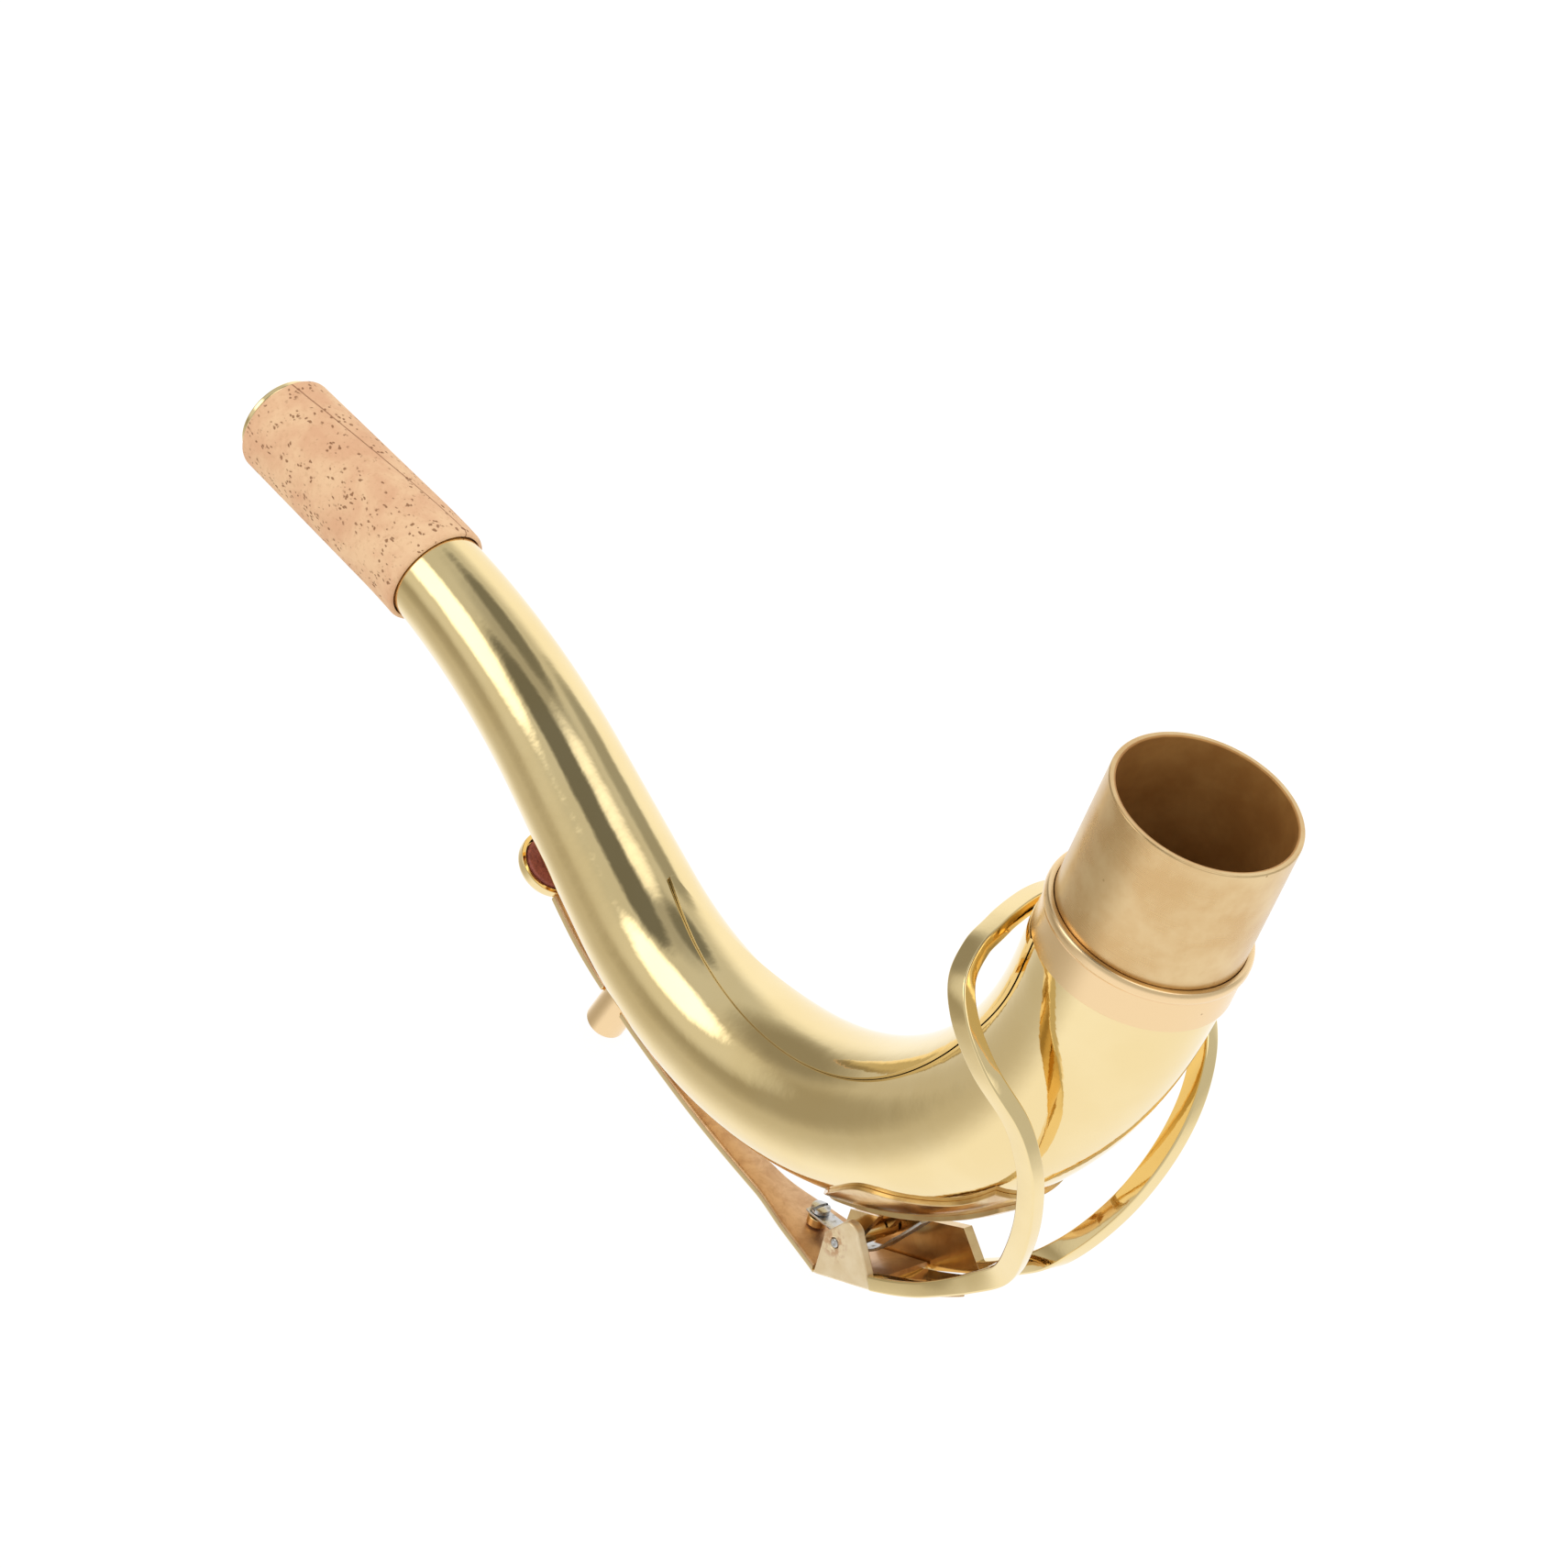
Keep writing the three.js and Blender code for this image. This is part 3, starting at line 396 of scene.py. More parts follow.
def lacquered_brass():
    """Buffed brass under clear lacquer: yellow gold, faint waves from the buffing wheel, a few hairlines."""
    material, place = new_material("lacquered_brass")
    colour = noise(place, 60, 3).step(0.35, 0.7).blend((0.92, 0.73, 0.385, 1), (0.95, 0.77, 0.43, 1))
    hairline = noise(stretched(place, (2600, 160, 160)), 1, 4, 0.7).step(0.66, 0.78)
    dust = noise(place, 2300, 1).step(0.76, 0.84)
    roughness = 0.045 + 0.03 * noise(place, 35, 2) + 0.05 * hairline + 0.12 * dust
    waves = 3 * noise(place, 70, 2) + noise(place, 260, 3)
    return finished(material, {
        "Base Color": colour, "Metallic": 1.0, "Roughness": roughness, "Coat Weight": 0.25,
        "Coat Roughness": 0.04, "Normal": bump(waves, 0.00004),
    })


brass = lacquered_brass()


def neck_tube():
    """Rings along the outer wall from the collar to the tip, and back along the bore inside it."""
    start = tube_start - seam_gap
    outer_station = np.linspace(start, tube_end, 300)
    bore_station = np.linspace(tube_end, start, 90)
    station = np.concatenate([outer_station, bore_station])
    radius = np.concatenate([tube_radius(outer_station), tube_radius(bore_station) - tube_wall])
    grid = around(station[:, None], full_turn(128), radius[:, None])
    piece("polished_tube", grid, "neck", ["neck_tube"], brass, wrap_rows=True)


neck_tube()


# The tenon is a drawn sleeve that slides into the body's receiver. It is turned and left satin, with fine
# lines round it, small stains and specks, and its inside is raw dark brass. The collar is soldered on it.
tenon_diameter = 27.5
tenon_wall = 1
raw_inside_depth = 35
raw_inside_faded_depth = 40
raw_edge_width = 0.2
raw_wall_share = 0.6
collar_band = 28.9
collar_bead = 29.8
collar_bead_length = 2
running_gap = 0.08


def scattered(place, scale):
    """Distance from the nearest of many scattered points, with about that many of them in a metre."""
    return place.make("ShaderNodeTexVoronoi", None, {"Vector": place, "Scale": scale}, "Distance")


def satin_brass():
    """Turned brass: fine lines round the axis, cloudy stains, specks, and darker raw metal inside."""
    material, place = new_material("satin_brass")
    from_axis = stretched(place, (1, 1, 0)).vector("LENGTH", output="Value")
    wall_middle = (tenon_diameter / 2 - tenon_wall * raw_wall_share) * metres_per_mm
    height = place.make("ShaderNodeSeparateXYZ", None, {0: place}, "Z")
    in_tenon = height.step(-raw_inside_faded_depth * metres_per_mm, -raw_inside_depth * metres_per_mm)
    inside = from_axis.step(wall_middle, wall_middle - raw_edge_width * metres_per_mm) * in_tenon
    lines = noise(stretched(place, (40, 40, 9000)), 1, 2)
    clouds = noise(place, 110, 4, 0.6)
    tenon_colour = clouds.step(0.3, 0.75).blend((0.7, 0.46, 0.215, 1), (0.84, 0.63, 0.35, 1))
    collar = from_axis.step(tenon_diameter / 2 * metres_per_mm, collar_band / 2 * metres_per_mm)
    outside_colour = collar.blend(tenon_colour, (0.94, 0.69, 0.4, 1))
    inside_colour = clouds.step(0.3, 0.7).blend((0.4, 0.18, 0.042, 1), (0.53, 0.27, 0.075, 1))
    speck = scattered(place, 420).step(0.1, 0.05) * noise(place, 130, 1).step(0.56, 0.62)
    roughness = 0.2 + 0.12 * clouds + 0.05 * lines + 0.15 * inside - 0.06 * collar
    return finished(material, {
        "Base Color": inside.blend(speck.blend(outside_colour, (0.5, 0.33, 0.15, 1)), inside_colour),
        "Metallic": 1 - 0.6 * inside, "Roughness": roughness, "Coat Weight": 0.1, "Coat Roughness": 0.2,
        "Normal": bump(lines + 0.4 * speck, 0.000012, 0.5),
    })


satin = satin_brass()


def turned(profile, origin, axis, sides, first=sideways):
    """A lathe form: [radius, distance] points carried round an axis by the cosine and sine of the angle."""
    axis = np.asarray(axis, float) / np.linalg.norm(axis)
    radius, distance = np.asarray(profile, float).T[..., None, None]
    angle = full_turn(sides)[:, None]
    rim = np.cos(angle) * first + np.sin(angle) * np.cross(axis, first)
    return np.asarray(origin, float) + distance * axis + radius * rim


tenon_mouth = (0, 0, 0)
into_tenon = (0, 0, -1)


def tenon_sleeve():
    """A plain sleeve, open at both ends."""
    outer, inner = tenon_diameter / 2, tenon_diameter / 2 - tenon_wall
    depth = np.linspace(0, tenon_length + collar_length, 12)
    profile = [[outer, d] for d in depth] + [[inner, d] for d in depth[::-1]]
    grid = turned(profile, tenon_mouth, into_tenon, sides=160)
    piece("satin_tenon", grid, "neck", ["tenon_sleeve"], satin, rounded=0.22, wrap_rows=True)


def tenon_collar():
    """A half-round bead towards the tenon and a plain band behind it."""
    bore = tenon_diameter / 2 + running_gap
    angle = np.linspace(0, np.pi, 17)
    rise = (collar_bead - collar_band) / 2 * np.sin(angle)
    along = tenon_length + collar_bead_length * (1 - np.cos(angle)) / 2
    bead = np.stack([collar_band / 2 + rise, along], -1)
    band = [[collar_band / 2, tenon_length + collar_length], [bore, tenon_length + collar_length],
            [bore, tenon_length]]
    grid = turned(np.concatenate([bead, band]), tenon_mouth, into_tenon, sides=160)
    piece("soldered_collar", grid, "neck", ["tenon_collar"], satin, rounded=0.16,
          wrap_rows=True)


tenon_sleeve()
tenon_collar()


# The tip ring is a small rolled brass lip, soldered on the tube's end. It keeps the cork from sliding
# off the tip.
tip_ring_diameter = 13.6


def tip_ring():
    """A band with rounded edges at the last millimetre of the neck."""
    outer_station = np.linspace(neck_length - tip_ring_length, neck_length, 4)
    station = np.concatenate([outer_station, outer_station[::-1]])
    radius = np.repeat([tip_ring_diameter / 2, tube_tip / 2 - tube_wall], len(outer_station))
    grid = around(station[:, None], full_turn(96), radius[:, None])
    piece("rolled_lip", grid, "neck", ["tip_ring"], brass, rounded=0.3, wrap_rows=True)


tip_ring()


# The cork is one sheet of natural cork wrapped round the tip and glued along a slanting scarf seam, then
# sanded to a slight taper. It is pinkish tan with brown flecks and rounded ends.
cork_length = 38.4
cork_tip_diameter = 16
cork_inner_diameter = 16.8
cork_rounding = 0.7
seam_tip_angle = math.radians(190)
seam_inner_angle = math.radians(160)
seam_wobble_share = 0.0016
seam_dark_share = 0.0014
seam_faded_share = 0.0032


def natural_cork():
    """Cork: tan with pink clouds, short dark flecks that are also pits, and the seam's dark glue line."""
    material, place = new_material("natural_cork")
    wrap = place.make("ShaderNodeTexCoord", output="UV")
    across = place.make("ShaderNodeSeparateXYZ", None, {0: wrap}, "X")
    clouds = noise(place, 130, 5, 0.6, 0.4)
    grain = noise(place, 1500, 3, 0.6)
    push = noise(place, 700, output="Color").vector("SUBTRACT", (0.5, 0.5, 0.5))
    warped = push.vector("MULTIPLY_ADD", (0.0012, 0.0012, 0.0012), place)
    cells = scattered(stretched(warped, (930, 1100, 1800)), 1)
    fleck = cells.step(0.36, 0.22) * noise(place, 420, 2).step(0.47, 0.56)
    wobble = seam_wobble_share * noise(place, 500, 2)
    from_seam = abs(across - (0.5 + seam_wobble_share / 2) + wobble)
    seam = from_seam.step(seam_faded_share, seam_dark_share)
    plain = clouds.step(0.34, 0.7).blend((0.8, 0.53, 0.31, 1), (0.7, 0.4, 0.23, 1))
    grained = (grain.step(0.5, 0.75) * 0.35).blend(plain, (0.55, 0.3, 0.15, 1))
    flecked = (fleck * 0.85).blend(grained, (0.25, 0.11, 0.045, 1))
    return finished(material, {
        "Base Color": (seam * 0.8).blend(flecked, (0.3, 0.13, 0.06, 1)), "Roughness": 0.78,
        "Specular IOR Level": 0.25, "Normal": bump(grain * 0.35 - fleck - seam, 0.00012, 0.6),
    })


cork = natural_cork()


def mouthpiece_cork():
    """A tapered sleeve. Both outer edges are quarter circles, and each ring starts opposite the seam."""
    end = tube_end - seam_gap
    start = end - cork_length
    corner = np.linspace(0, np.pi / 2, 7)
    rounded_start = start + cork_rounding * (1 - np.cos(corner))
    middle = np.linspace(start + cork_rounding, end - cork_rounding, 60)
    outer_station = np.concatenate([rounded_start, middle[1:-1], (start + end) - rounded_start[::-1]])
    drop = cork_rounding * (1 - np.sin(corner))
    outer_drop = np.concatenate([drop, np.zeros(len(middle) - 2), drop[::-1]])
    share = (outer_station - start) / cork_length
    outer_radius = (cork_inner_diameter + (cork_tip_diameter - cork_inner_diameter) * share) / 2 - outer_drop
    inner_station = np.linspace(end, start, 12)
    station = np.concatenate([outer_station, inner_station])
    radius = np.concatenate([outer_radius, tube_radius(inner_station) + seam_gap])
    seam_angle = np.interp(station, [start, end], [seam_inner_angle, seam_tip_angle])
    grid = around(station[:, None], seam_angle[:, None] + np.pi + full_turn(128), radius[:, None])
    piece("wrapped_cork", grid, "neck", ["mouthpiece_cork"], cork, wrap_rows=True)


mouthpiece_cork()


# The brace is a thin leaf of sheet brass, soldered along the inside of the main bend to stiffen it. It is
# wide at the collar and runs out in a long point.
brace_thickness = 0.4
solder_reach = 0.12
brace_length = 120.6
brace_half_angle = math.radians(58)
brace_outline_shares = [[0, 1], [0.1, 0.97], [0.24, 0.79], [0.5, 0.76], [0.66, 0.63], [0.86, 0.34], [1, 0.04]]


def smooth_table(rows, share):
    """A smooth curve through [share, value] rows: cubic pieces whose slopes come from the rows beside."""
    place, value = np.array(rows, float).T
    slope = np.gradient(value, place)
    slope[1:-1] = (value[2:] - value[:-2]) / (place[2:] - place[:-2])
    row = np.clip(np.searchsorted(place, share) - 1, 0, len(place) - 2)
    width = place[row + 1] - place[row]
    t = np.clip((share - place[row]) / width, 0, 1)
    return ((2 * t**3 - 3 * t**2 + 1) * value[row] + (t**3 - 2 * t**2 + t) * width * slope[row]
            + (3 * t**2 - 2 * t**3) * value[row + 1] + (t**3 - t**2) * width * slope[row + 1])


def closed_sheet(inner, outer):
    """Two surfaces of points joined all round: each row runs along the inner one and back on the outer."""
    middle = (inner + outer) / 2
    rows = np.concatenate([inner, outer[:, ::-1]], axis=1)
    ends = np.concatenate([middle, middle[:, ::-1]], axis=1)
    return np.concatenate([ends[:1], rows, ends[-1:]])


def patch_on_tube(start, length, middle_angle, half_angle, inner_height, outer_height, rows=90, columns=28):
    """A sheet that follows the tube between two heights. Its half angle depends on the share along it."""
    share = np.linspace(0, 1, rows)
    station = (start + length * share)[:, None]
    angle = middle_angle + half_angle(share)[:, None] * np.linspace(-1, 1, columns)
    return closed_sheet(above_tube(station, angle, inner_height), above_tube(station, angle, outer_height))


def under_brace():
    """The leaf's outline, worked out along the bend."""
    grid = patch_on_tube(tube_start, brace_length, np.pi,
                         lambda share: brace_half_angle * smooth_table(brace_outline_shares, share),
                         solder_reach, seam_gap + brace_thickness, rows=160, columns=40)
    piece("soldered_leaf", grid, "neck", ["under_brace"], brass, rounded=0.12)


under_brace()


# The octave vent is a short turned brass pipe with a narrow drilled bore. It stands on a round base that is
# soldered over a hole in the tube.
vent_station = 163
vent_bore = 1.6
pip_diameter = 4
pip_height = 2.75
pip_base_diameter = 6.4
pip_base_height = 1
pip_base_slope_width = 0.3
pip_base_slope_share = 0.7


def seat_at(station):
    """Origin on the tube's outer surface, and the forward and outward directions there."""
    _, forward, outward = frame_at(station)
    return above_tube(station, 0, 0), forward, outward


def turned_on_tube(profile, station, sides):
    """A lathe form that stands on the tube at a station."""
    origin, _, outward = seat_at(station)
    return turned(profile, origin, outward, sides)


def pip_base():
    """A washer with a sloped edge whose underside follows the tube."""
    bore, outer = vent_bore / 2, pip_base_diameter / 2
    profile = [[bore, 1], [outer - pip_base_slope_width, 1], [outer, pip_base_slope_share], [outer, 0],
               [bore, 0]]
    radius, share = np.array(profile).T[..., None]
    angle = full_turn(64)
    along, side = radius * np.cos(angle), radius * np.sin(angle)
    under = np.sqrt(tube_radius(vent_station + along) ** 2 - side**2) - tube_radius(vent_station)
    height = under + (pip_base_height - under) * share
    origin, forward, outward = seat_at(vent_station)
    grid = origin + along[..., None] * forward + side[..., None] * sideways + height[..., None] * outward
    piece("vent_washer", grid, "neck", ["pip_base"], brass, wrap_rows=True)


def octave_pip():
    """A turned pipe with rounded edges."""
    bore, outer = vent_bore / 2, pip_diameter / 2
    profile = [[bore, pip_base_height], [outer, pip_base_height], [outer, pip_height], [bore, pip_height]]
    grid = turned_on_tube(profile, vent_station, sides=64)
    piece("vent_pip", grid, "neck", ["octave_pip"], brass, rounded=0.2, wrap_rows=True)


pip_base()
octave_pip()


# The saddle carries the key: a thin flanged foot on the tube, a narrow doubler brazed along it, two gussets
# and the hinge barrel. Torch heat has left them browner than the tube.
foot_station = 66
foot_length = 33
foot_thickness = 0.5
foot_half_angle = math.radians(57)
foot_outline_shares = [[0, 0.58], [0.21, 0.6], [0.47, 0.84], [0.67, 1], [0.88, 0.76], [1, 0.45]]
doubler_station = 68
doubler_length = 33.5
doubler_width = 6.4
doubler_thickness = 0.5
doubler_inner = 2 * seam_gap + foot_thickness
doubler_outer = doubler_inner + doubler_thickness
doubler_end_width_share = 0.44
hinge_station = 96.4
hinge_height = 5.7
pin_diameter = 1.4
barrel_diameter = 3
barrel_length = 9.3
leg_rounding = 0.15


def brazed_brass():
    """Brass after the torch: brownish gold with darker heat stains, a little rough, under lacquer."""
    material, place = new_material("brazed_brass")
    stain = noise(place, 170, 4, 0.65, 0.6)
    fine = noise(place, 1800, 3, 0.7)
    return finished(material, {
        "Base Color": stain.step(0.38, 0.66).blend((0.85, 0.62, 0.31, 1), (0.7, 0.46, 0.21, 1)),
        "Metallic": 1.0, "Roughness": 0.09 + 0.14 * stain + 0.05 * fine, "Coat Weight": 0.3,
        "Coat Roughness": 0.08, "Normal": bump(stain + 0.3 * fine, 0.00003, 0.4),
    })


brazed = brazed_brass()


def saddle_foot():
    """The foot's outline swells between two narrower ends."""
    grid = patch_on_tube(foot_station, foot_length, 0,
                         lambda share: foot_half_angle * smooth_table(foot_outline_shares, share),
                         0, seam_gap + foot_thickness)
    piece("flanged_foot", grid, "neck", ["saddle_foot"], brazed, rounded=0.14)


def doubler_half_angle(share):
    """Half the strip's width as an angle round the tube, drawn in to half circles at its ends."""
    end_share = np.minimum(2 * np.minimum(share, 1 - share) * doubler_length / doubler_width, 1)
    rounding = np.maximum(np.sqrt(1 - (1 - end_share) ** 2), doubler_end_width_share)
    station = doubler_station + share * doubler_length
    return rounding * np.arcsin(doubler_width / 2 / (tube_radius(station) + doubler_inner))


def saddle_doubler():
    """A strip with half-round ends, let down onto the foot."""
    grid = patch_on_tube(doubler_station, doubler_length, 0, doubler_half_angle, doubler_inner - seam_gap,
                         doubler_outer)
    piece("doubler_strip", grid, "neck", ["saddle_doubler"], brazed, rounded=0.14)


saddle_foot()
saddle_doubler()

_, hinge_forward, hinge_outward = frame_at(hinge_station)
pin_centre = above_tube(hinge_station, 0, hinge_height)


def from_pin(forward, outward, side=0.0):
    """Points from the pin's centre: along the tube, away from it and along the pin."""
    forward, outward, side = (np.asarray(value, float)[..., None] for value in (forward, outward, side))
    return pin_centre + forward * hinge_forward + outward * hinge_outward + side * sideways


def hinge_barrel():
    """A drilled barrel on the pin's axis."""
    bore, outer, half = pin_diameter / 2 + running_gap, barrel_diameter / 2, barrel_length / 2
    profile = [[bore, -half], [outer, -half], [outer, half], [bore, half]]
    grid = turned(profile, pin_centre, sideways, 64, hinge_forward)
    piece("drilled_barrel", grid, "neck", ["hinge_barrel"], brazed, rounded=0.2,
          wrap_rows=True)


def saddle_leg(name):
    """The gusset keeps its cut shape and takes the saddle's finish, with its edges eased."""
    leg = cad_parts[name]
    leg.data.materials.clear()
    leg.data.materials.append(brazed)
    bevel = leg.modifiers.new("eased edges", "BEVEL")
    bevel.width = leg_rounding * metres_per_mm
    bevel.limit_method = "ANGLE"


hinge_barrel()
saddle_leg("near_saddle_leg")
saddle_leg("far_saddle_leg")


# The hinge pin is a ground steel rod through the ears and the barrel. Its ends are slightly domed, with a
# small turned centre hole in each.
ear_thickness = 1.6
ear_inner = barrel_length / 2 + seam_gap
ear_outer = ear_inner + ear_thickness
centre_hole_radius = 0.16
centre_hole_depth = 0.12
pin_flat_radius = 0.5
pin_shoulder_width = 0.08
pin_shoulder_drop = 0.05
pin_side_drop = 0.15


def bare_steel():
    """Ground steel: neutral grey, drawn out fine scratches, a few dull spots."""
    material, place = new_material("bare_steel")
    scratches = noise(stretched(place, (6000, 900, 6000)), 1, 3, 0.6)
    spots = noise(place, 900, 2).step(0.55, 0.7)
    return finished(material, {
        "Base Color": spots.blend((0.62, 0.62, 0.63, 1), (0.42, 0.4, 0.38, 1)), "Metallic": 1.0,
        "Roughness": 0.22 + 0.12 * scratches + 0.15 * spots, "Normal": bump(scratches, 0.00001, 0.6),
    })


steel = bare_steel()


def hinge_pin():
    """A rod from ear to ear, with the same turned profile at both ends."""
    radius, to_end = pin_diameter / 2, [0, ear_outer]
    end = np.array([[0, -centre_hole_depth], [centre_hole_radius, 0], [pin_flat_radius, 0],
                    [radius - pin_shoulder_width, -pin_shoulder_drop], [radius, -pin_side_drop]])
    profile = np.concatenate([end + to_end, end[::-1] * [1, -1] - to_end])
    grid = turned(profile, pin_centre, sideways, 48, hinge_forward)
    piece("steel_hinge_rod", grid, "octave_key", ["hinge_pin"], steel)


hinge_pin()


# The ears are two stamped cheeks bent up from the key's arm. They hold the pin on either side of the barrel,
# and the far one runs on to the ring's bar. The near one is painted paler, which is a painted reflection.
ear_drop = 5.5
ear_base_tip = 4.8
ear_base_tenon = 7
ear_shoulder = [1.9, -1.2]
crown_middle = [-3.1, -1.8]
crown_radius = 2
cheek_station = 83.5
cheek_top_height = 4.3
cheek_top_setback = 1.3
ring_bar_height = 10.9
stain_inner_radius = 1.2
stain_outer_radius = 3.4


def pin_offsets(point):
    """How far a point is from the pin, along the tube and away from it."""
    offset = np.asarray(point) - pin_centre
    return [float(offset @ hinge_forward), float(offset @ hinge_outward)]


def polar_plate(corners, from_side, to_side, hole_radius):
    """A plate with a round hole at the pin: rings from the hole out on one face, and back on the other.

    The corners are offsets from the pin, along the tube and away from it.
    """
    corners = np.array(corners, float)
    edges = np.roll(corners, -1, axis=0) - corners
    outline = (corners[:, None] + edges[:, None] * np.linspace(0, 1, 9)[:-1, None]).reshape(-1, 2)
    hole = outline / np.linalg.norm(outline, axis=1)[:, None] * hole_radius
    rings = hole + (outline - hole) * np.linspace(0, 1, 4)[:, None, None]
    forward, outward = np.moveaxis(rings, -1, 0)
    return np.concatenate([from_pin(forward, outward, from_side),
                           from_pin(forward[::-1], outward[::-1], to_side)])


def stained_brass_painted_reflection():
    """Brass painted pale as a painted reflection: half matt and clouded, with reddish stains round the pin.
    """
    material, place = new_material("stained_brass_painted_reflection")
    clouds = noise(place, 260, 4, 0.6)
    # The pale colour is a painted reflection, lighter than the brass around it; the stains round the pin are
    # real.
    pale = clouds.step(0.35, 0.7).blend((0.95, 0.79, 0.54, 1), (0.86, 0.68, 0.42, 1))
    pin_end = tuple(from_pin(0, 0, -ear_outer) * metres_per_mm)
    from_end = place.vector("DISTANCE", pin_end, output="Value")
    round_pin = from_end.step(stain_outer_radius * metres_per_mm, stain_inner_radius * metres_per_mm)
    stain = round_pin * noise(place, 900, 3, 0.6).step(0.42, 0.62)
    return finished(material, {
        "Base Color": (stain * 0.8).blend(pale, (0.6, 0.33, 0.16, 1)), "Metallic": 0.6,
        "Roughness": 0.24 + 0.2 * clouds + 0.1 * stain, "Coat Weight": 0.2, "Coat Roughness": 0.15,
        "Normal": bump(clouds + 0.3 * stain, 0.00004, 0.4),
    })


def ear(name, node, side, tenon_side, finish):
    """One cheek: a slanting edge towards the tip, a round crown over the pin, and the tenon side given."""
    angle = np.linspace(np.pi / 3, np.pi, 13)[:, None]
    crown = crown_middle + crown_radius * np.concatenate([np.cos(angle), -np.sin(angle)], 1)
    corners = [[ear_base_tip, ear_drop], ear_shoulder, *crown, *tenon_side, [-ear_base_tenon, ear_drop]]
    grid = polar_plate(corners, side * ear_inner, side * ear_outer, pin_diameter / 2 + running_gap)
    piece(name, grid, "octave_key", [node], finish, rounded=0.35, wrap_rows=True)


cheek_corners = [
    pin_offsets(above_tube(cheek_station + cheek_top_setback, 0, cheek_top_height)),
    pin_offsets(above_tube(cheek_station, 0, ring_bar_height)),
]
# The near cheek's pale brass is a painted reflection.
ear("near_cheek", "near_ear", -1, [], stained_brass_painted_reflection())
ear("far_cheek", "far_ear", 1, cheek_corners, brazed)


# The arm is one forged strip from the hinge to the pad cup, wide between the ears and slim beyond. Its outer
# face is buffed and its inner face is left pinkish and matt. The bumper's socket is set through it.
arm_thickness = 1.4
arm_corner = 0.42
arm_hinge_width = 13
arm_waist_width = 5.8
arm_width = 4.4
arm_waist_share = 0.2
arm_socket_share = 0.6
arm_neck_station = 112.8
arm_neck_height = 7
arm_low_station = 125
arm_low_height = 4.6
socket_station = 142
arm_socket_height = 4.1
socket_diameter = 6
cup_arm_rise_length = 13
cup_arm_height = 5
cup_diameter = 10.4
arm_overlap = 0.5
arm_points = np.array([
    from_pin(ear_base_tip + seam_gap, ear_drop),
    above_tube(arm_neck_station, 0, arm_neck_height),
    above_tube(arm_low_station, 0, arm_low_height),
    above_tube(socket_station, 0, arm_socket_height),
    above_tube(vent_station - cup_arm_rise_length, 0, cup_arm_height),
    above_tube(vent_station, 0, cup_arm_height),
])


def smooth_path(points, share):
    """A centripetal Catmull-Rom curve through points: cubic pieces that turn gently where points crowd."""
    points = np.asarray(points, float)
    held = np.concatenate([2 * points[:1] - points[1:2], points, 2 * points[-1:] - points[-2:-1]])
    place = np.clip(share, 0, 1) * (len(points) - 1)
    first = np.minimum(place.astype(int), len(points) - 2)
    t = (place - first)[:, None]
    a, b, c, d = (held[first + i] for i in range(4))
    strides = (q - p for p, q in ((a, b), (b, c), (c, d)))
    before, here, after = (np.linalg.norm(stride, axis=-1, keepdims=True) ** 0.5 for stride in strides)
    start = ((b - a) / before - (c - a) / (before + here) + (c - b) / here) * here
    end = ((c - b) / here - (d - b) / (here + after) + (d - c) / after) * here
    return b + start * t + (3 * (c - b) - 2 * start - end) * t**2 + (2 * (b - c) + start + end) * t**3


def along_path(points):
    """Unit directions along a row of points."""
    forward = np.gradient(points, axis=0)
    return forward / np.linalg.norm(forward, axis=1)[:, None]


def swept(middle, side_way, depth_way, half_width, half_depth, corner):
    """A bar with a rounded oblong section at each middle point, closed by a flat cap at either end."""
    cap_width_share = 0.9
    quarter = np.linspace(0, np.pi / 2, 6)
    half_width = np.broadcast_to(half_width, len(middle))[:, None]
    half_depth = np.broadcast_to(half_depth, len(middle))[:, None]
    across, deep = [], []
    for turn, (x, y) in enumerate([(1, 1), (-1, 1), (-1, -1), (1, -1)]):
        angle = quarter + turn * np.pi / 2
        across.append(x * (half_width - corner) + corner * np.cos(angle))
        deep.append(y * (half_depth - corner) + corner * np.sin(angle))
    across, deep = np.concatenate(across, 1)[..., None], np.concatenate(deep, 1)[..., None]
    side_way, depth_way = (np.broadcast_to(way, middle.shape)[:, None] for way in (side_way, depth_way))
    rows = middle[:, None] + across * side_way + deep * depth_way
    cap = middle[:, None] + across * side_way * cap_width_share
    return np.concatenate([cap[:1], rows, cap[-1:]])


def arm_brass():
    """Forged brass: buffed on the face turned away from the tube, matt and pinkish on the face towards it."""
    material, place = new_material("arm_brass")
    wrap = place.make("ShaderNodeTexCoord", output="UV")
    round_section = place.make("ShaderNodeSeparateXYZ", None, {0: wrap}, "X")
    inner_face = round_section.step(0.5, 0.54) * round_section.step(1.0, 0.96)
    mottle = noise(place, 330, 5, 0.7, 0.5)
    pinkish = mottle.step(0.35, 0.7).blend((0.78, 0.51, 0.29, 1), (0.64, 0.38, 0.2, 1))
    roughness = 0.12 + 0.05 * mottle + inner_face * (0.22 + 0.16 * mottle)
    grain = mottle * inner_face + 0.2 * noise(place, 2500, 2)
    return finished(material, {
        "Base Color": inner_face.blend((0.9, 0.71, 0.4, 1), pinkish), "Metallic": 1.0, "Roughness": roughness,
        "Coat Weight": 0.2, "Coat Roughness": 0.1, "Normal": bump(grain, 0.00005, 0.4),
    })


arm_finish = arm_brass()


def arm_half_width(share):
    """Half the arm's width at a share of the way from the ears to the vent."""
    rows = [[0, arm_hinge_width], [arm_waist_share / 2, (arm_hinge_width + arm_waist_width) / 2],
            [arm_waist_share, arm_waist_width], [arm_socket_share, arm_width], [1, arm_width]]
    return smooth_table(rows, share) / 2


def share_beside(station, distance):
    """Share of the arm's line at a distance forward of the line that stands on the tube at a station."""
    origin, forward, _ = seat_at(station)
    share = np.linspace(0, 1, 4001)
    return np.interp(distance, (smooth_path(arm_points, share) - origin) @ forward, share)


